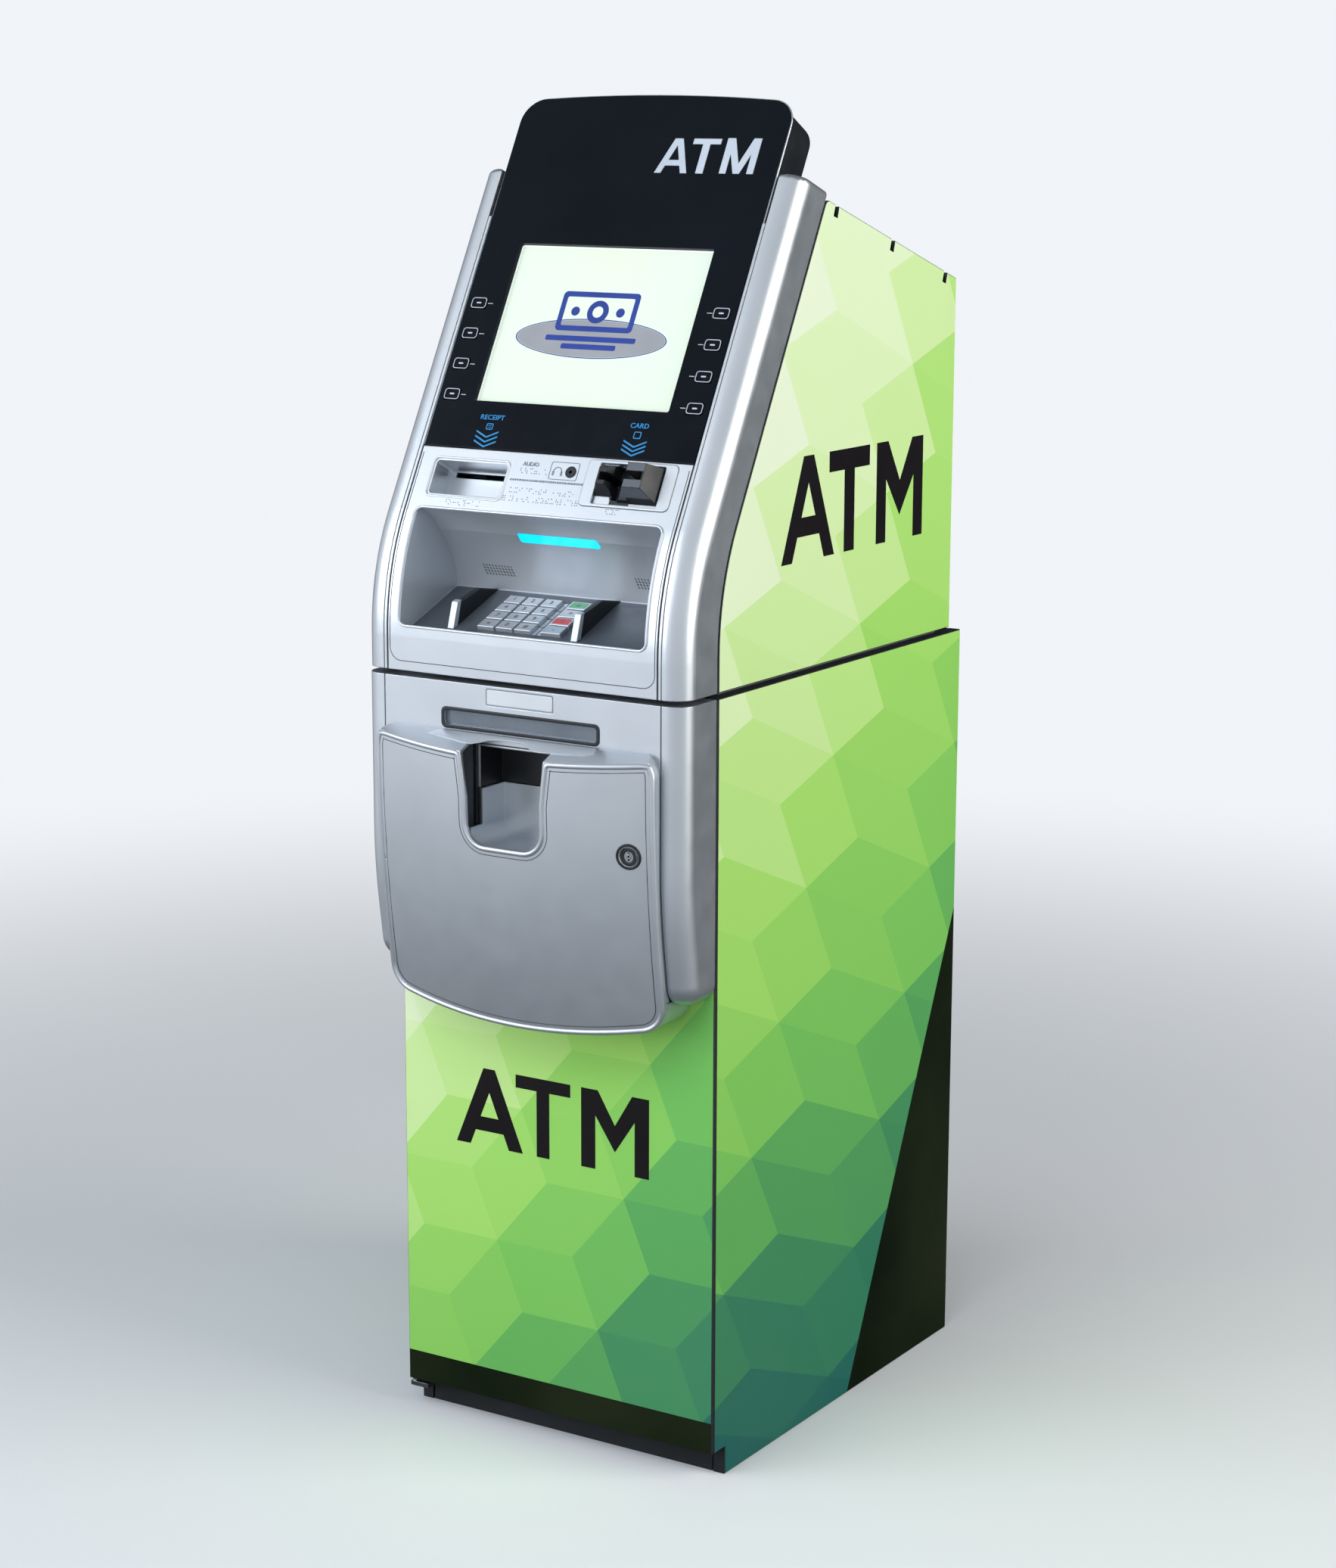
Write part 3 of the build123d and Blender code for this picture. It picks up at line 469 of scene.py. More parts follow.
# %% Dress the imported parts
DRESS = (
    (charcoal, "plinth lower_side_panels upper_side_panels back_panels top_cover door_skin"),
    (safe_steel, "vault_shell vault_door_plate"),
    (bare_steel, "hinge_pins vault_lever bolt_bar cover_lock"),
    (grey_steel, "upper_chassis note_dispenser electronics_box"),
    (black_satin, "note_cassette receipt_printer mains_inlet header_housing privacy_wings"),
    (black_satin, "card_bezel audio_jack vault_dial"),
    (paper, "paper_roll"),
    (silver, "upper_fascia card_plate receipt_tray lower_fascia receptacle_frame cash_bucket"),
    (silver, "receptacle_cover"),
    # The keypad recess takes the darker copy of the silver paint: painted shade.
    (silver_for_painted_shade_and_highlight, "pin_recess"),
    (black_gloss, "front_panel"),
    (screen_glow, "display"),
    (lamp_glow, "light_bar"),
    (smoked, "note_shutter"),
    (key_metal, " ".join(name for name in nodes if name.startswith("pin_key_"))),
    (black_gloss, " ".join(name for name in nodes if name.startswith("soft_key_"))),
)
dressed = set()
for finish, names in DRESS:
    for node_name in names.split():
        mesh = nodes[node_name].data
        mesh.materials.clear()
        mesh.materials.append(finish)
        dressed.add(node_name)
print("undressed parts:", sorted(set(nodes) - dressed))

# %% [markdown]
# ## Making a thin shape
# Letters, digits, outlines and plates are all flat shapes with a little thickness. A shape is drawn
# as one or more closed outlines; filling them together leaves the inner ones as holes. The filled
# face is pulled up to its thickness, its top edge is broken with a small bevel, and the plane's
# matrix carries it to its place.

# %% Helpers for outlines, thin shapes and pieces
def body_of_part(node_name):
    return nodes[node_name]["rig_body"]


def finish_piece(bm, name, place, finish, body, smooth=30.0):
    """Turn a finished bmesh into a piece that rides on a body."""
    bmesh.ops.remove_doubles(bm, verts=bm.verts, dist=1e-5)
    bmesh.ops.recalc_face_normals(bm, faces=bm.faces)
    bm.transform(place)
    made = bpy.data.meshes.new(name)
    bm.to_mesh(made)
    bm.free()
    made.materials.append(finish)
    made.polygons.foreach_set("use_smooth", [True] * len(made.polygons))
    made.set_sharp_from_angle(angle=math.radians(smooth))
    piece = bpy.data.objects.new(name, made)
    bpy.context.scene.collection.objects.link(piece)
    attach(piece, body)
    return piece


def add_outline(bm, points, height=0.0):
    corners = [bm.verts.new((p[0], p[1], height)) for p in points]
    return [bm.edges.new((corners[i - 1], corners[i])) for i in range(len(corners))]


def thin_shape(bm, outlines, low, high, bevel=0.0):
    """Fill outlines on the plane z = low, pull them up to z = high and break the top edge."""
    edges = []
    for points in outlines:
        edges += add_outline(bm, points, low)
    filled = bmesh.ops.triangle_fill(bm, edges=edges, use_beauty=True, use_dissolve=False)
    faces = [g for g in filled["geom"] if isinstance(g, bmesh.types.BMFace)]
    pulled = bmesh.ops.extrude_face_region(bm, geom=faces)["geom"]
    top = [g for g in pulled if isinstance(g, bmesh.types.BMVert)]
    bmesh.ops.translate(bm, verts=top, vec=(0, 0, high - low))
    if bevel:
        top_set = set(top)
        bm.normal_update()
        rim = [e for e in bm.edges if e.verts[0] in top_set and e.verts[1] in top_set
               and len(e.link_faces) == 2 and e.calc_face_angle(0.0) > 1.0]
        bmesh.ops.bevel(bm, geom=rim, offset=bevel, segments=2, profile=0.5, affect="EDGES",
                        material=-1)


def rounded_box(x0, x1, y0, y1, radius, steps=6):
    """Corner points of a rectangle with round corners, anticlockwise."""
    points = []
    for cx, cy, start in ((x1 - radius, y1 - radius, 0), (x0 + radius, y1 - radius, 90),
                          (x0 + radius, y0 + radius, 180), (x1 - radius, y0 + radius, 270)):
        for i in range(steps + 1):
            turn = math.radians(start + 90 * i / steps)
            points.append((cx + radius * math.cos(turn), cy + radius * math.sin(turn)))
    return points


def oval(cx, cy, rx, ry, steps=48):
    turns = [2 * math.pi * i / steps for i in range(steps)]
    return [(cx + rx * math.cos(t), cy + ry * math.sin(t)) for t in turns]


def plate(name, outlines, low, high, place, finish, body, slot="silver_plastic", bevel=0.0):
    bm = bmesh.new()
    thin_shape(bm, outlines, low, high, bevel)
    return finish_piece(bm, name, place, finish, body)


def bead(name, points, radius, finish, body, closed=False):
    """A round bead along points given in millimetres behind the door plane."""
    curve = bpy.data.curves.new(name + "_line", "CURVE")
    curve.dimensions = "3D"
    spline = curve.splines.new("POLY")
    spline.points.add(len(points) - 1)
    for spot, (x, y, z) in zip(spline.points, points):
        spot.co = (x * MM, (y + DOOR_Y) * MM, z * MM, 1.0)
    spline.use_cyclic_u = closed
    curve.bevel_depth = radius * MM
    curve.bevel_resolution = 3
    curve.use_fill_caps = not closed
    holder = bpy.data.objects.new(name + "_line", curve)
    bpy.context.scene.collection.objects.link(holder)
    bpy.context.view_layer.update()
    made = bpy.data.meshes.new_from_object(holder)
    bpy.data.objects.remove(holder)
    bpy.data.curves.remove(curve)
    bm = bmesh.new()
    bm.from_mesh(made)
    bpy.data.meshes.remove(made)
    return finish_piece(bm, name, Matrix.Identity(4), finish, body, smooth=60.0)


def text_shape(bm, words, size, x, y, low, high, thicken=0.0, wide=1.0):
    """Letters or digits centred on (x, y), as thin solids in the bmesh."""
    curve = bpy.data.curves.new("words", "FONT")
    curve.body = words
    curve.size = size
    curve.align_x = "CENTER"
    curve.align_y = "CENTER"
    curve.offset = thicken
    curve.extrude = (high - low) / 2
    curve.resolution_u = 3
    holder = bpy.data.objects.new("words", curve)
    bpy.context.scene.collection.objects.link(holder)
    bpy.context.view_layer.update()
    made = bpy.data.meshes.new_from_object(holder)
    bpy.data.objects.remove(holder)
    bpy.data.curves.remove(curve)
    made.transform(Matrix.Translation((x, y, (low + high) / 2)) @ Matrix.Diagonal((wide, 1, 1, 1)))
    bm.from_mesh(made)
    bpy.data.meshes.remove(made)


INK = (-0.02, 0.12)
LINE = (-0.05, 0.1)
print("square outline points:", len(rounded_box(0, 1, 0, 1, 0.2)))

# %% [markdown]
# ## The printed wrap
# The green sheets are vinyl printed with a pattern of stacked cubes. The pattern is a slanted grid
# of triangles, cut along three families of lines; two triangles that share a short side make one
# rhombus of a single tone. Each sheet starts as a copy of the steel panel's own outer face, so its
# outline and slots fit by themselves. It is cut with planes, pulled out to the thickness of vinyl,
# and every rhombus gets one tone from a slow ramp that runs from pale lime to teal.

# %% Tones of the wrap
WRAP_RAMP = (
    (200, "ebf8dc"), (300, "e4f7cc"), (400, "dbf4b8"), (560, "c3ec91"), (680, "a8e270"),
    (800, "91d565"), (900, "7ac962"), (980, "61b261"), (1060, "489863"), (1140, "368366"),
    (1210, "287266"), (1300, "1f6466"),
)
WRAP_BLACK = paint("041204")


def wrap_tone(amount):
    """Tone on the ramp, from pale to deep."""
    amount = min(max(amount, WRAP_RAMP[0][0]), WRAP_RAMP[-1][0])
    for (low, first), (high, second) in zip(WRAP_RAMP, WRAP_RAMP[1:]):
        if amount <= high:
            share = (amount - low) / (high - low)
            return tuple(a + (b - a) * share for a, b in zip(paint(first), paint(second)))
    return paint(WRAP_RAMP[-1][1])


def side_depth(y, z):
    return 1250 - z + (0.9 * z / 1000 - 0.1) * y


def door_depth(x, z):
    return 1050 - 0.87 * z + (0.75 + 0.0012 * z) * x


def rhombus_at(spot, start, first, second):
    """Number and centre of the rhombus that holds a spot, and which way it faces."""
    area = first.x * second.y - first.y * second.x
    d = spot - start
    m = (d.x * second.y - d.y * second.x) / area
    n = (first.x * d.y - first.y * d.x) / area
    i = math.floor(m)
    j = math.floor(n)
    lower = (m - i) > (n - j)
    family = (i + j) % 3
    across = first + second
    if family == 2:
        return (i, j, "right"), start + first * (i + 0.5) + second * (j + 0.5)
    if lower and family == 1:
        j -= 1
        family = 0
        lower = False
    elif not lower and family == 1:
        i -= 1
        family = 0
        lower = True
    corner = start + first * i + second * j
    if lower:
        return (i, j, "top"), corner + (first + across) / 2
    return (i, j, "left"), corner + (across + second) / 2


print("ramp steps:", len(WRAP_RAMP))

# %% Cut and colour a wrap sheet
FACE_SHIFT = {"top": 16, "left": 0, "right": -14}
VINYL = 0.25
GRID_LINES = range(-14, 16)
TONE_JITTER = 14


def cut_along(bm, spot, normal):
    """Cut every face of the sheet where it crosses a plane."""
    everything = bm.verts[:] + bm.edges[:] + bm.faces[:]
    bmesh.ops.bisect_plane(bm, geom=everything, dist=0.001, plane_co=spot, plane_no=normal)


def wrap_sheet(name, node_name, place, start, first, second, depth, dark_rule, extra_cuts):
    """A printed sheet on the outer face of a panel; depth gives the tone at a spot."""
    start, first, second = Vector(start), Vector(first), Vector(second)
    bm = bmesh.new()
    bm.from_mesh(nodes[node_name].data)
    bm.transform(place.inverted())
    bmesh.ops.remove_doubles(bm, verts=bm.verts, dist=0.01)
    bm.normal_update()
    drop = [f for f in bm.faces if f.normal.z < 0.99 or abs(f.calc_center_median().z) > 0.2]
    bmesh.ops.delete(bm, geom=drop, context="FACES")
    for line, step in ((first, second), (second, first), (first + second, first)):
        normal = Vector((-line.y, line.x, 0)).normalized()
        for k in GRID_LINES:
            cut_along(bm, (start + step * k).to_3d(), normal)
    for spot, normal in extra_cuts:
        cut_along(bm, spot, normal)
    pulled = bmesh.ops.extrude_face_region(bm, geom=bm.faces[:])["geom"]
    top = [g for g in pulled if isinstance(g, bmesh.types.BMVert)]
    bmesh.ops.translate(bm, verts=top, vec=(0, 0, VINYL))
    tones = bm.loops.layers.float_color.new("print_tone")
    for face in bm.faces:
        middle = face.calc_center_median()
        if dark_rule(middle):
            tone = WRAP_BLACK
        else:
            label, centre = rhombus_at(Vector((middle.x, middle.y)), start, first, second)
            pick = random.Random(label[0] * 31 + label[1] * 17 + len(label[2]))
            jitter = pick.uniform(-TONE_JITTER, TONE_JITTER)
            tone = wrap_tone(depth(centre.x, centre.y) + FACE_SHIFT[label[2]] + jitter)
        for corner in face.loops:
            corner[tones] = tone
    return finish_piece(bm, name, place, wrap_vinyl, body_of_part(node_name))


def print_tone(r):
    node = add_node(r.nodes, "Attribute")
    node.attribute_name = "print_tone"
    return node.outputs["Color"]


wrap_vinyl = surface_finish(
    "printed_vinyl_wrap", "ffffff", "b8c890", (0.34, 0.46), grain=(260, 0.05), edge=0.0001,
    cloud_scale=3.0, specular=0.10, colour_from=print_tone,
)
SIDE_START = (131.4, 476.7)
SIDE_FIRST = (112.9, 34.2)
SIDE_SECOND = (57.7, -102.0)
BLACK_FOOT = Vector((293.0, 0.0))
BLACK_TOP = Vector((536.0, 524.0))
black_line = BLACK_TOP - BLACK_FOOT
BLACK_NORMAL = Vector((black_line.y, -black_line.x, 0)).normalized()


def behind_black_line(along, up):
    return (Vector((along, up)) - BLACK_FOOT).dot(BLACK_NORMAL.to_2d()) > 0


for side_name, place, sign in (("right", RIGHT_SIDE, 1), ("left", LEFT_SIDE, -1)):
    first = (SIDE_FIRST[0] * sign, SIDE_FIRST[1])
    second = (SIDE_SECOND[0] * sign, SIDE_SECOND[1])
    start = (SIDE_START[0] * sign, SIDE_START[1])
    cut = ((BLACK_FOOT.x * sign, BLACK_FOOT.y, 0), (BLACK_NORMAL.x * sign, BLACK_NORMAL.y, 0))
    for level, cuts in (("lower", [cut]), ("upper", [])):
        sheet = wrap_sheet(
            f"{level}_{side_name}_wrap", f"{level}_side_panels", place, start, first, second,
            lambda x, z, s=sign: side_depth(x * s, z),
            lambda p, s=sign, low=level == "lower": low and behind_black_line(p.x * s, p.y),
            cuts,
        )
        print(sheet.name, "faces", len(sheet.data.polygons))

DOOR_START = (-77.1, 218.2)
DOOR_FIRST = (66.1, 77.3)
DOOR_SECOND = (32.8, -77.3)
BAND_TOP = 66.0
sheet = wrap_sheet(
    "door_wrap", "door_skin", DOOR, DOOR_START, DOOR_FIRST, DOOR_SECOND, door_depth,
    lambda p: p.y < BAND_TOP, [((0, BAND_TOP, 0), (0, 1, 0))],
)
print(sheet.name, "faces", len(sheet.data.polygons))

# %% [markdown]
# ## The three big letters
# A machine like this carries the plain three-letter word for what it is: on the header, on the door
# and on both sides. Each letter is drawn from its stroke width, so one set of rules serves the wide
# door letters, the tall side ones and the light header ones.

# %% Letter outlines
def letter_a(left, right, low, high, foot, tip, bar_low, bar_high):
    middle = (left + right) / 2
    tall = high - low
    lean_in = (middle - tip / 2 - left) / tall

    def inner(z):
        return left + foot + lean_in * (z - low)

    def mirror_x(x):
        return 2 * middle - x

    top_z = low + (middle - left - foot) / lean_in
    outer = [(left, low), (left + foot, low), (inner(bar_low), bar_low),
             (mirror_x(inner(bar_low)), bar_low), (right - foot, low), (right, low),
             (middle + tip / 2, high), (middle - tip / 2, high)]
    hole = [(inner(bar_high), bar_high), (mirror_x(inner(bar_high)), bar_high), (middle, top_z)]
    return [outer, hole]


def letter_t(left, right, low, high, stem, bar):
    middle = (left + right) / 2
    return [[(left, high), (left, high - bar), (middle - stem / 2, high - bar),
             (middle - stem / 2, low), (middle + stem / 2, low), (middle + stem / 2, high - bar),
             (right, high - bar), (right, high)]]


def letter_m(left, right, low, high, stem, dip, inner, point, flat=0.0):
    middle = (left + right) / 2
    shoulder = stem * 1.18
    bottom = [(middle + flat / 2, point), (middle - flat / 2, point)] if flat else [(middle, point)]
    return [[(left, low), (left, high), (left + shoulder, high), (middle, dip),
             (right - shoulder, high), (right, high), (right, low), (right - stem, low),
             (right - stem, inner), *bottom, (left + stem, inner), (left + stem, low)]]


DOOR_WORD = [letter_a(-130, -42, 323, 411, 18.5, 15, 340, 356),
             letter_t(-51, 20, 323, 411, 16.5, 14.5),
             letter_m(34, 120, 323, 411, 18, 375, 383, 346)]
SIDE_WORD = [letter_a(126, 237, 968, 1078, 22, 21, 994, 1014),
             letter_t(225, 313, 968, 1078, 22, 22),
             letter_m(329, 435, 968, 1078, 21.5, 1033, 1037, 995)]
HEADER_WORD = [letter_a(21, 61, 322.4, 362.6, 7.9, 9.8, 331, 337.6),
               letter_t(59.2, 93.2, 322.4, 362.6, 8.9, 6.4),
               letter_m(100.4, 141.4, 322.8, 363.6, 8, 334.6, 345.5, 322.8, flat=7.6)]


def word(name, letters, low, high, place, finish, body):
    bm = bmesh.new()
    for outlines in letters:
        thin_shape(bm, outlines, low, high)
    return finish_piece(bm, name, place, finish, body)


LETTER_LOW = VINYL + 0.02
LETTER_HIGH = LETTER_LOW + 0.2
SIDE_WORD_ENDS = 126 + 435
left_word = [
    [[(x - SIDE_WORD_ENDS, z) for x, z in points] for points in outlines] for outlines in SIDE_WORD
]
for name, letters, place, body in (
    ("door_letters", DOOR_WORD, DOOR, "vault_door"),
    ("right_side_letters", SIDE_WORD, RIGHT_SIDE, "cabinet"),
    ("left_side_letters", left_word, LEFT_SIDE, "cabinet"),
):
    word(name, letters, LETTER_LOW, LETTER_HIGH, place, letter_vinyl, body)
word("header_letters", HEADER_WORD, 0.0, 0.5, SLOPE, pale_ink, "upper_door")

# %% [markdown]
# ## The front panel's prints
# The black panel is a clear sheet printed from behind. Around it runs a thin pale trim. The marks
# are a rounded frame and a dash for each soft key, a short line that ties the key to the screen,
# and two blue columns of arrows that point at the receipt pocket and the card reader.

# %% Panel trim
PANEL_HALF = 168.0
SHOULDER = 406.5
ARCH = 413.5
ARCH_HALF = 169.0
CORNER = 28.0


def slope_point(x, up, out):
    spot = SLOPE @ Vector((x, up, out))
    return (spot.x / MM, spot.y / MM - DOOR_Y, spot.z / MM)


def panel_edge(grow, low):
    """Points up one side of the black panel, over the arched top and down the other side."""
    rise = ARCH - SHOULDER
    arch_radius = (ARCH_HALF**2 + rise**2) / (2 * rise)
    half = PANEL_HALF + 0.8 + grow
    centre_y = ARCH - arch_radius + math.sqrt(arch_radius**2 - (half - CORNER) ** 2) - CORNER
    points = [(-half, low)]
    for i in range(9):
        turn = math.radians(180 - 90 * i / 8)
        x = -half + CORNER + CORNER * math.cos(turn)
        points.append((x, centre_y + (CORNER + grow) * math.sin(turn)))
    for i in range(1, 16):
        x = -half + CORNER + (2 * half - 2 * CORNER) * i / 16
        points.append((x, ARCH + grow - arch_radius + math.sqrt(arch_radius**2 - x**2)))
    points += [(-x, y) for x, y in reversed(points[:10])]
    return points


trim_line = [slope_point(x, y, -2.6) for x, y in panel_edge(0.1, 2.0)]
bead("front_panel_trim", trim_line, 1.15, silver, "upper_door")
print("trim points:", len(trim_line))

# %% Soft key frames and pointers
SOFT_UP = (165.7, 130.5, 95.3, 60.1)
CAP_INK = (0.88, 1.02)
for side_name, sign in (("left", -1), ("right", 1)):
    for number, up in enumerate(SOFT_UP, 1):
        key = f"soft_key_{side_name}_{number}"
        low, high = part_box(key)
        half = (high.x - low.x) / MM / 2 - 0.5
        middle = sign * (abs(high.x + low.x) / MM / 2)
        bm = bmesh.new()
        outer = rounded_box(middle - half, middle + half, up - 6.1, up + 6.1, 3.4)
        inner = rounded_box(middle - half + 0.9, middle + half - 0.9, up - 5.2, up + 5.2, 2.6)
        dash = rounded_box(middle - 3, middle + 3, up - 0.9, up + 0.9, 0.7, 3)
        thin_shape(bm, [outer, inner], *CAP_INK)
        thin_shape(bm, [dash], *CAP_INK)
        finish_piece(bm, f"{key}_frame", SLOPE, pale_ink, body_of_part(key))
        near = middle - sign * (half + 1.6)
        x0, x1 = sorted((near, near - sign * 6.5))
        plate(f"{key}_pointer", [rounded_box(x0, x1, up - 0.45, up + 0.45, 0.4, 2)], *INK,
              SLOPE, pale_ink, "upper_door")
print("soft key frames:", len(SOFT_UP) * 2)

# %% Blue captions, signs and arrows
def arrow(bm, x, tip, half=14.0, rise=6.4, thick=1.9):
    high = tip + rise
    outline = [(x - half, high + thick), (x - half, high), (x, tip), (x + half, high),
               (x + half, high + thick), (x, tip + thick)]
    thin_shape(bm, [outline], *INK)


bm = bmesh.new()
for x, tips in ((-92.2, (13.0, 7.6, 2.2)), (91.4, (13.4, 8.6, 3.8))):
    for tip in tips:
        arrow(bm, x, tip)
text_shape(bm, "RECEIPT", 7.6, -91, 36.2, *INK, thicken=0.14, wide=1.1)
text_shape(bm, "CARD", 7.6, 91.8, 37.6, *INK, thicken=0.14, wide=1.1)
slip = [rounded_box(-95.6, -87.2, 22.4, 29.6, 1.2, 3),
        rounded_box(-94.6, -88.2, 23.4, 28.6, 0.6, 3)]
thin_shape(bm, slip, *INK)
for y in (24.6, 26.6):
    thin_shape(bm, [rounded_box(-93.4, -89.4, y, y + 0.8, 0.3, 2)], *INK)
card_sign = [rounded_box(87.4, 96.4, 23.4, 31.4, 1.4, 3),
             rounded_box(88.5, 95.3, 24.5, 30.3, 0.7, 3)]
thin_shape(bm, card_sign, *INK)
guide_print = finish_piece(bm, "blue_guide_prints", SLOPE, blue_ink, "upper_door")
print("blue prints faces:", len(guide_print.data.polygons))

# %% [markdown]
# ## The screen
# The screen stands behind its window with a thin white border. A plain banknote sign over a grey
# oval stands in for the owner's welcome picture.

# %% Screen face
SCREEN = (-121.0, 121.0, 54.5, 237.2)
GLASS = -5.2


def inset_box(box, gap, radius, steps):
    return rounded_box(box[0] + gap, box[1] - gap, box[2] + gap, box[3] - gap, radius, steps)


outer = inset_box(SCREEN, 0.2, 2.3, 4)
inner = inset_box(SCREEN, 1.9, 1.2, 4)
plate("screen_border", [outer, inner], GLASS, GLASS + 0.5, SLOPE, screen_border, "upper_door",
      "screen")
plate("screen_face", [inner], GLASS, GLASS + 0.3, SLOPE, screen_glow, "upper_door", "screen")
print("screen:", SCREEN[1] - SCREEN[0], "x", round(SCREEN[3] - SCREEN[2], 1), "mm")

# %% Banknote sign
SIGN_X = -2.0
SIGN_Y = 140.0
OVAL_Y = SIGN_Y - 7
PRINT = GLASS + 0.3
SIGN = (PRINT, PRINT + 0.25)
plate("screen_oval", [oval(SIGN_X, OVAL_Y, 92, 21)], PRINT, PRINT + 0.1, SLOPE, screen_grey,
      "upper_door", "screen")
bm = bmesh.new()
thin_shape(bm, [oval(SIGN_X, OVAL_Y, 94, 22.5), oval(SIGN_X, OVAL_Y, 92.6, 21.4)], PRINT,
           PRINT + 0.15)
note = (SIGN_X - 48, SIGN_X + 48, SIGN_Y + 1, SIGN_Y + 46)
thin_shape(bm, [rounded_box(*note, 5), inset_box(note, 6, 2, 6)], *SIGN)
centre_y = (note[2] + note[3]) / 2
thin_shape(bm, [oval(SIGN_X, centre_y, 13, 13), oval(SIGN_X, centre_y, 6.5, 6.5)], *SIGN)
for x in (SIGN_X - 28, SIGN_X + 28):
    thin_shape(bm, [oval(x, centre_y, 5.2, 5.2, 24)], *SIGN)
for row in (0, 1):
    half = 56 - row * 22
    low = SIGN_Y - 10.5 - row * 9
    line = rounded_box(SIGN_X - half, SIGN_X + half, low, SIGN_Y - 4.5 - row * 9, 1.6, 3)
    thin_shape(bm, [line], PRINT, PRINT + 0.2)
sign = finish_piece(bm, "screen_note_sign", SLOPE, screen_blue, "upper_door")
print("sign faces:", len(sign.data.polygons))

# %% [markdown]
# ## Keypad digits
# The key caps are already beveled metal blocks. Each gets its digit or function mark as a thin
# raised shape that rides on the key itself, so it travels when the key is pressed.

# %% Digits and marks on the keys
COLUMN_X = (-60.75, -37.45, -14.15, 20.75)
ROW_UP = (25.65, 8.55, -8.55, -25.65)
KEY_TOP = 4.6
KEY_INK = (KEY_TOP - 0.02, KEY_TOP + 0.12)
LEGENDS = ("123<", "456", "789x", "*0#")
FUNCTION_MARKS = {(0, 3): "o", (1, 3): "=", (2, 3): "x", (3, 3): "-"}
for row, up in enumerate(ROW_UP):
    for column, x in enumerate(COLUMN_X):
        mark = FUNCTION_MARKS.get((row, column)) or LEGENDS[row][column]
        key = f"pin_key_{row + 1}{column + 1}"
        bm = bmesh.new()
        drop = 2.2 if mark == "*" else 0
        text_shape(bm, mark, 8.6, x, up - drop, *KEY_INK, thicken=0.12)
        finish_piece(bm, f"{key}_mark", DECK, dark_ink, body_of_part(key))
for key, up, finish, slot in (("pin_key_14", ROW_UP[0], key_green, "key_green"),
                              ("pin_key_34", ROW_UP[2], key_red, "key_red")):
    patch = rounded_box(COLUMN_X[3] - 10, COLUMN_X[3] + 10, up - 5.4, up + 5.4, 1.2, 3)
    plate(f"{key}_patch", [patch], KEY_TOP - 0.02, KEY_TOP + 0.08, DECK, finish,
          body_of_part(key), slot)
print("key marks:", len(ROW_UP) * len(COLUMN_X))

# %% [markdown]
# ## Rims, lines and liners on the silver mouldings
# The cover's outline is walked once as a list of points, in its own rules: a shallow arc below,
# round corners, a sloping shelf on top and the notch for the hand. Pushing every point inwards by a
# few millimetres gives the place of the rolled rim, and a little more gives the place of a thin
# dark line that paints the shadow of a fine groove inside it.

# %% Walk the cover's outline
COVER_Y = -97.0
COVER_BOW = 20.0
COVER_RADIUS = 1536.0
COVER_TOP = 780.0
COVER_SIDE = 173.5
FOOT_RADIUS = 762.6
FOOT_Z = 488.0
SHELF_SLOPE = 0.47
SHELF_Z = 781.5


def cover_y(x, z):
    """Front of the double-curved cover."""
    return COVER_Y + COVER_BOW * (x / 170) ** 2 + COVER_RADIUS - math.sqrt(
        COVER_RADIUS**2 - (z - COVER_TOP) ** 2)


def shelf_z(x):
    return SHELF_Z + SHELF_SLOPE * COVER_BOW * (x / 170) ** 2


def arc_points(cx, cy, radius, start, end, steps=8):
    turns = [math.radians(start + (end - start) * i / steps) for i in range(steps + 1)]
    return [(cx + radius * math.cos(t), cy + radius * math.sin(t)) for t in turns]


def cover_walk():
    """Right half from the foot of the cover to the bottom of the notch, then its mirror image."""
    foot_centre = FOOT_Z + FOOT_RADIUS
    half = [(x, foot_centre - math.sqrt(FOOT_RADIUS**2 - x * x)) for x in range(0, 149, 12)]
    half += arc_points(143.5, 532.1, 30, -79, 0)
    half += [(COVER_SIDE, z) for z in (570, 620, 670, 720, 760)]
    half += arc_points(145.5, 774, 28, 0, 34, 4)
    half += [(x, shelf_z(x) - 0.2) for x in (160, 140, 120, 100, 80, 62)]
    half += arc_points(58.4, 775.5, 7, 90, 176, 5)
    half += [(48.6, 757), (46, 735), (46, 720)]
    half += arc_points(24, 707, 22, 0, -90)
    half += [(12, 685), (0, 685)]
    return half + [(-x, z) for x, z in reversed(half[1:-1])]


def inset_path(points, gap):
    """Push a closed anticlockwise walk inwards by a gap."""
    moved = []
    for i, spot in enumerate(points):
        before = (Vector(spot) - Vector(points[i - 1])).normalized()
        after = (Vector(points[(i + 1) % len(points)]) - Vector(spot)).normalized()
        along = (before + after).normalized()
        inward = Vector((-along.y, along.x))
        share = max(0.6, inward.dot(Vector((-after.y, after.x))))
        moved.append(tuple(Vector(spot) + inward * gap / share))
    return moved


cover_edge = cover_walk()
rim = [(x, cover_y(x, z) + 1.5, z) for x, z in inset_path(cover_edge, 2.7)]
bead("cover_rolled_rim", rim, 3.3, silver, "cover", closed=True)
# The groove is a raised dark line: painted shadow of an engraved groove.
groove = [(x, cover_y(x, z) + 0.15, z) for x, z in inset_path(cover_edge, 9.0)]
bead("cover_inner_groove", groove, 0.5, groove_painted_shadow, "cover", closed=True)
print("cover walk points:", len(cover_edge))

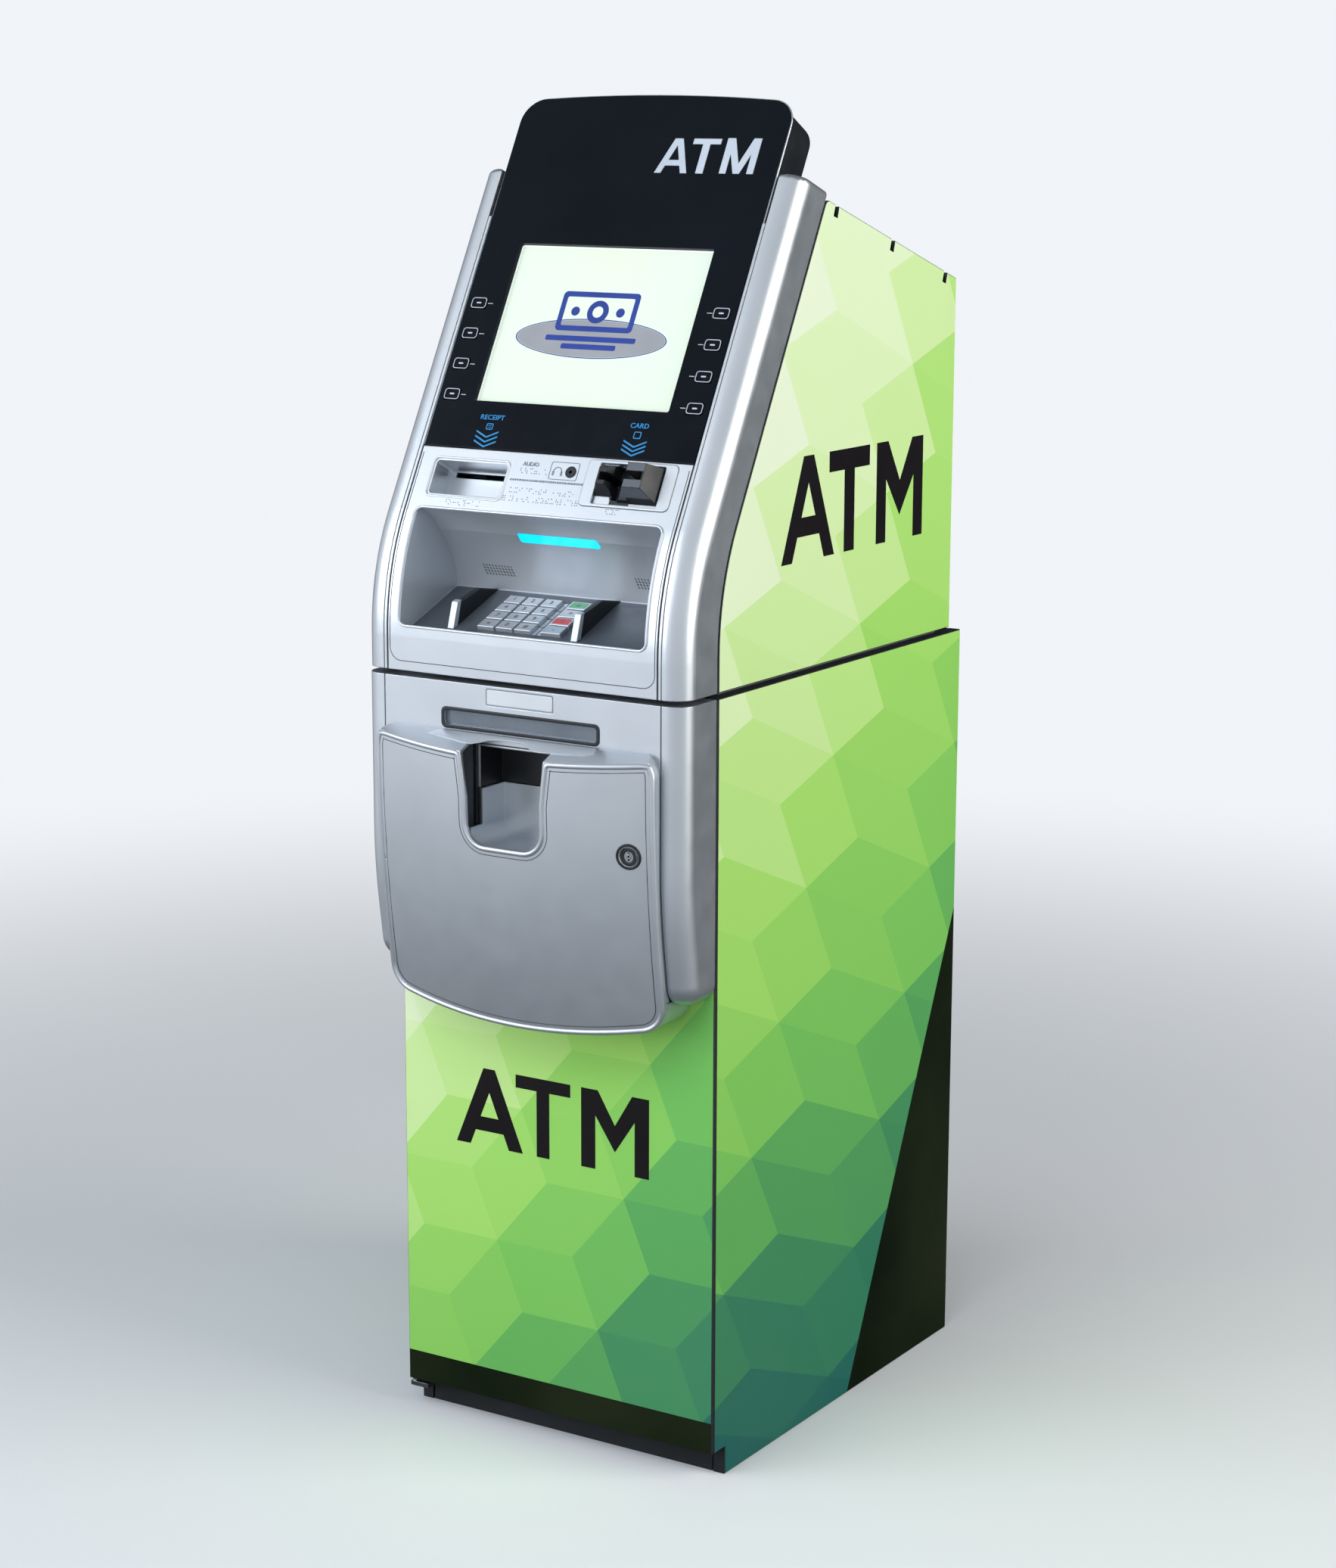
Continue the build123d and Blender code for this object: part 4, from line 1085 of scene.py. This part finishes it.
# %% Lip over the hand notch
SHELF = drawing_plane((0, -66.4, SHELF_Z + SHELF_SLOPE * 30.6), (1, 0, 0),
                      Vector((0, 1, SHELF_SLOPE)).normalized())
lip = [(-98, 0), (-108, -9), (-60, -17), (-47, -18.4)]
lip += [(-38, -14), (-30, -9), (-18, -6.6), (0, -6.2), (12, -7.4), (20, -11), (27, -17)]
lip += [(38, -18.4), (92, -14), (101, -9), (98, 0)]
# The lip takes the darker copy of the silver paint: painted shade on the shelf.
plate("notch_lip", [lip], 0.0, 0.9, SHELF, silver_for_painted_shade_and_highlight, "cover", bevel=0.25)
print("lip corners:", len(lip))

# %% Black liner above the cash bucket
bm = bmesh.new()
bmesh.ops.create_cube(bm, size=1.0)
LINER_SIZE = (99.6, 39.4, 43.6)
LINER_CENTRE = (0, DOOR_Y - 42.1, 761.0)
bmesh.ops.scale(bm, vec=LINER_SIZE, verts=bm.verts)
bmesh.ops.translate(bm, vec=LINER_CENTRE, verts=bm.verts)
open_faces = [f for f in bm.faces if f.normal.y < -0.9 or f.normal.z < -0.9]
bmesh.ops.delete(bm, geom=open_faces, context="FACES")
bmesh.ops.solidify(bm, geom=bm.faces[:], thickness=0.4)
finish_piece(bm, "bucket_black_liner", Matrix.Scale(MM, 4), black_satin, "vault_door")
print("liner size:", LINER_SIZE, "mm")

# %% Lock face
LOCK_X = 145.5
LOCK_Z = 692.5
lock_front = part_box("cover_lock")[0].y / MM - DOOR_Y
LOCK_FACE = drawing_plane((LOCK_X, lock_front, LOCK_Z), (1, 0, 0), (0, 0, 1))
plate("lock_dark_ring", [oval(0, 0, 9.6, 9.6), oval(0, 0, 5.6, 5.6)], -0.02, 0.5, LOCK_FACE,
      black_satin, "cover_lock", "bright_steel", bevel=0.2)
plate("lock_pin_core", [oval(0, 0, 2.6, 2.6, 24), oval(0, 0, 1.2, 1.2, 16)], -0.02, 0.7, LOCK_FACE,
      bare_steel, "cover_lock", "bright_steel", bevel=0.15)
# The dark mark on the lock face is painted shade standing for the keyway slot.
plate("lock_keyway_painted_shade", [rounded_box(-1, 1, 2.7, 5.2, 0.4, 2)], -0.02, 0.25, LOCK_FACE, dark_ink,
      "cover_lock", "bright_steel")
COLLAR_RADIUS = 12.2
collar = [(x, cover_y(x, z), z) for x, z in oval(LOCK_X, LOCK_Z, COLLAR_RADIUS, COLLAR_RADIUS, 40)]
bead("lock_collar", collar, 1.5, black_satin, "cover", closed=True)
print("lock at", LOCK_X, LOCK_Z)

# %% Slot surround, label plate and recess outline
slot_frame = [rounded_box(-99, 99, 797.5, 820.5, 6), rounded_box(-95.3, 95.3, 801.2, 816.8, 3.8)]
plate("note_slot_surround", slot_frame, -0.05, 0.8, FASCIA, black_satin, "vault_door", bevel=0.3)
label = [rounded_box(-42, 42, 826.4, 843.8, 2.4), rounded_box(-41.3, 41.3, 827.1, 843.1, 1.9)]
plate("label_plate_outline", label, *LINE, FASCIA, grey_line, "vault_door")
plate("label_plate_blank", [rounded_box(-40.9, 40.9, 827.5, 842.7, 1.6)], -0.05, 0.14, FASCIA,
      pale_silver_and_rim_highlight, "vault_door")
print("slot surround corners:", len(slot_frame[0]))

# %% Rim and painted groove shadow of the keypad recess
BEND_Z = 889.4
BEND_END = 1019.1
BEND_CENTRE = FASCIA_Y + BEND_RADIUS


def fascia_y(z):
    """Front of the upper fascia: upright, then bent, then leaning back."""
    if z < BEND_Z:
        return FASCIA_Y
    if z < BEND_END:
        return BEND_CENTRE - math.sqrt(BEND_RADIUS**2 - (z - BEND_Z) ** 2)
    return fascia_y(BEND_END - 0.01) + (z - BEND_END) * math.tan(LEAN)


def steps_between(points, gap=6.0):
    """Add points along straight runs so that a line can follow a bend."""
    walk = []
    for i, spot in enumerate(points):
        before = Vector(points[i - 1])
        here = Vector(spot)
        count = max(1, int((here - before).length / gap))
        walk += [tuple(before.lerp(here, k / count)) for k in range(1, count + 1)]
    return walk


mouth = steps_between(rounded_box(-154.6, 154.6, 900.4, 1022.3, 9.6))
mouth_rim = [(x, fascia_y(z) - 0.1, z) for x, z in mouth]
# The rim bead takes the paler copy of the silver paint: a painted highlight along the mouth of the
# recess.
bead("recess_mouth_rim", mouth_rim, 1.5, pale_silver_and_rim_highlight, "upper_door", closed=True)
groove = [(-165, z) for z in range(1076, 880, -6)]
groove += arc_points(-151, 877, 14, 180, 270, 6)
groove += [(-x, z) for x, z in reversed(groove)]
panel_groove = [(x, fascia_y(z) + 0.15, z) for x, z in groove]
# A thin dark line along the panel paints the shadow of an engraved groove.
bead("recess_panel_groove", panel_groove, 0.5, groove_painted_shadow, "upper_door")
print("rim points:", len(mouth_rim), "groove points:", len(panel_groove))

# %% [markdown]
# ## Inside the keypad recess
# Two little grilles of dark slanted patches stand for the loudspeakers; the dark patches are
# painted shade where the holes would be. The privacy wings get pale front edges, which are a
# painted highlight, and the coloured keys get a painted patch with the bare metal left as a border.

# %% Loudspeaker grilles
WALL = (36.6, 953.0)
GRILLE_X = 96
HOLE = ((-1.5, 0.9), (-0.3, 0.9), (1.1, -0.9), (-0.1, -0.9))
HOLE_PITCH = 3.9
ROW_PITCH = 3.3
ROW_SHIFT = 0.9
wall_up = Vector((0, -0.31, 0.95)).normalized()
bm = bmesh.new()
for side in (-1, 1):
    place = drawing_plane((side * GRILLE_X, WALL[0], WALL[1]), (1, 0, 0), wall_up)
    grille = bmesh.new()
    for row in range(5):
        for column in range(10):
            x = (column - 4.5) * HOLE_PITCH + row * ROW_SHIFT
            y = (2 - row) * ROW_PITCH
            thin_shape(grille, [[(x + dx, y + dy) for dx, dy in HOLE]], -0.6, 0.18)
    grille.transform(place)
    side_mesh = bpy.data.meshes.new("grille")
    grille.to_mesh(side_mesh)
    grille.free()
    bm.from_mesh(side_mesh)
    bpy.data.meshes.remove(side_mesh)
# Each hole is a near-black raised patch: painted shade, not an opening.
holes = finish_piece(bm, "speaker_grille_holes", Matrix.Identity(4), hole_shade_black, "upper_door")
print("grille faces:", len(holes.data.polygons))

# %% Wing edges and deck lines
SIDEWAYS = drawing_plane((0, 0, 0), (0, 1, 0), (0, 0, 1))
# The pale slabs on the front edges of the black wings are a painted highlight.
for number, (x0, x1) in enumerate(((-105.3, -97.7), (49.7, 57.3)), 1):
    edge = [(-41.3, 898.4), (-32.7, 925.9), (-26.4, 927.6), (-33.6, 900.9)]
    plate(f"wing_painted_highlight_edge_{number}", [edge], x0, x1, SIDEWAYS, silver_for_painted_shade_and_highlight, "upper_door",
          "dark_plastic")
bm = bmesh.new()
for up in (-20.0, 4.0):
    thin_shape(bm, [rounded_box(78, 122, up, up + 0.8, 0.35, 2)], *LINE)
finish_piece(bm, "deck_lines", DECK, grey_line, "upper_door")
print("wing edges: 2")

# %% Dark deck plate around the keys
key_block = rounded_box(-73, 34.5, -35, 35, 1.5, 3)
deck_outline = rounded_box(-151.4, 151.4, -53.5, 47.5, 2, 3)
plate("deck_plate", [deck_outline, key_block], -0.05, 0.3, DECK, deck_grey, "upper_door",
      "recess_grey", bevel=0.1)
bm = bmesh.new()
for row in range(5):
    up = 34.2 - row * 17.1
    thin_shape(bm, [rounded_box(-72.6, 34.2, up - 0.45, up + 0.45, 0.2, 2)], 0.0, 0.3)
for x in (-72.1, -49.1, -25.8, 2.25, 33.7):
    thin_shape(bm, [rounded_box(x - 0.45, x + 0.45, -34, 34, 0.2, 2)], 0.0, 0.28)
bars = finish_piece(bm, "key_block_bars", DECK, deck_grey, "upper_door")
print("bar faces:", len(bars.data.polygons))

# %% [markdown]
# ## Card reader and hand notch
# The card reader is one black moulding. Thin grey faces on its block and silver corners around it
# give it back its painted surfaces. The sides of the notch for the hand get a black sleeve behind
# their edge: painted shade.

# %% Faces of the card reader
bm = bmesh.new()
for corners in (
    [(59.6, -5.6), (59.6, -13), (62.7, -12.8), (73.5, -17.5), (79.2, -8.6), (79.2, -5.6)],
    [(59.6, -40.6), (59.6, -49.4), (79.4, -49.4), (79.4, -44.6), (77.5, -40.6)],
    [(103, -49.4), (103, -46.6), (137.2, -46.6), (137.2, -49.4)],
):
    thin_shape(bm, [corners], -3.05, -2.4)
finish_piece(bm, "card_corner_plates", SLOPE, silver, "upper_door")
bm = bmesh.new()
thin_shape(bm, [rounded_box(104.4, 125.6, -18.6, -10.4, 0.5, 2)], 19.98, 20.15)
thin_shape(bm, [rounded_box(104.4, 125.6, -36.6, -28.4, 0.5, 2)], 19.98, 20.15)
finish_piece(bm, "card_block_face", SLOPE, deck_grey, "upper_door", smooth=20)
foot = (Vector((88.6, -45.7, -2.9)), Vector((136.4, -45.7, -2.9)))
head = (Vector((125.6, -37.2, 19.8)), Vector((104.4, -37.2, 19.8)))
bm = bmesh.new()
ring = [bm.verts.new(spot + Vector((0, -0.12, 0))) for spot in (*foot, *head)]
face = bm.faces.new(ring)
bmesh.ops.solidify(bm, geom=[face], thickness=0.1)
finish_piece(bm, "card_block_underside", SLOPE, deck_grey, "upper_door", smooth=20)
print("card block face corners:", len(foot) + len(head))

# %% Painted shade sleeve inside the hand notch
sleeve = [(-56.2, 788), (-56.2, 676)] + arc_points(-48, 676, 8.2, 180, 270, 6)
sleeve += arc_points(48, 676, 8.2, 270, 360, 6) + [(56.2, 788), (52.2, 788)]
sleeve += arc_points(46.4, 677.6, 5.8, 0, -90, 6) + arc_points(-46.4, 677.6, 5.8, 270, 180, 6)
sleeve += [(-52.2, 788)]
plate("notch_painted_shade_sleeve", [sleeve], -0.05, 3.85, FASCIA, black_satin, "vault_door", "dark_plastic")
print("sleeve corners:", len(sleeve))

# %% [markdown]
# ## Raised dots and small signs
# Readers who can't see find their way by raised dots. The cells below follow a fixed random order,
# so they spell nothing, but they have the true pitch: 2.4 mm between dots and 6 mm between cells.

# %% Raised dots
DOT_PITCH = 2.4
CELL_PITCH = 6.0
DOT_CHANCE = 0.48


def dot_row(bm, x0, x1, y, seed):
    dice = random.Random(seed)
    x = x0
    while x < x1:
        for column in (0, 1):
            for level in (0, 1, 2):
                if dice.random() < DOT_CHANCE:
                    place = (x + column * DOT_PITCH, y + (1 - level) * DOT_PITCH, 0.0)
                    spot = Matrix.Translation(place)
                    flat = Matrix.Diagonal((1, 1, 0.75, 1))
                    bmesh.ops.create_icosphere(bm, subdivisions=1, radius=0.72, matrix=spot @ flat)
        x += CELL_PITCH


bm = bmesh.new()
DOT_ROWS = ((-43, 38, -42, 3), (-49, 44, -51.5, 4), (-43, -6, -20, 5), (-121, -77, -61, 6),
            (80, 96, -57.5, 7))
for x0, x1, up, seed in DOT_ROWS:
    dot_row(bm, x0, x1, up, seed)
finish_piece(bm, "raised_dots", SLOPE, grey_line, "upper_door", smooth=80)
print("dot rows:", len(DOT_ROWS))

# %% Signs and rings around the jack
bm = bmesh.new()
text_shape(bm, "AUDIO", 6.2, -26, -12.6, -0.02, 0.35, thicken=0.1)
dice = random.Random(12)
x = -47.0
while x < 41:
    long = dice.uniform(1.2, 3.4)
    thin_shape(bm, [[(x, -31.6), (x + long, -31.6), (x + long, -29.6), (x, -29.6)]], -0.02, 0.3)
    x += long + dice.uniform(0.7, 1.1)
frame_of_jack = [rounded_box(-1, 34, -27.4, -7.6, 2.4, 4),
                 rounded_box(-0.3, 33.3, -26.7, -8.3, 1.9, 4)]
thin_shape(bm, frame_of_jack, -0.02, 0.25)
headband = arc_points(8.5, -18.5, 5.4, -10, 190, 14) + arc_points(8.5, -18.5, 4.4, 190, -10, 14)
thin_shape(bm, [headband], -0.02, 0.3)
for x in (2.4, 12.6):
    thin_shape(bm, [rounded_box(x, x + 2.2, -23, -18, 0.9, 3)], -0.02, 0.3)
finish_piece(bm, "audio_signs", SLOPE, grey_line, "upper_door")
jack_ring = [slope_point(x, y, 0.1) for x, y in oval(24.9, -18, 5.6, 5.6, 32)]
bead("jack_ring", jack_ring, 0.9, black_satin, "upper_door", closed=True)
pocket_rim = rounded_box(-148.2, -51.1, -55.5, -11.5, 6.5, 6)
# The pocket's rim bead is painted paler than the moulding: a painted highlight.
bead("receipt_pocket_rim", [slope_point(x, y, -0.1) for x, y in pocket_rim], 1.1, pale_silver_and_rim_highlight,
     "upper_door", closed=True)
print("pocket rim points:", len(pocket_rim))
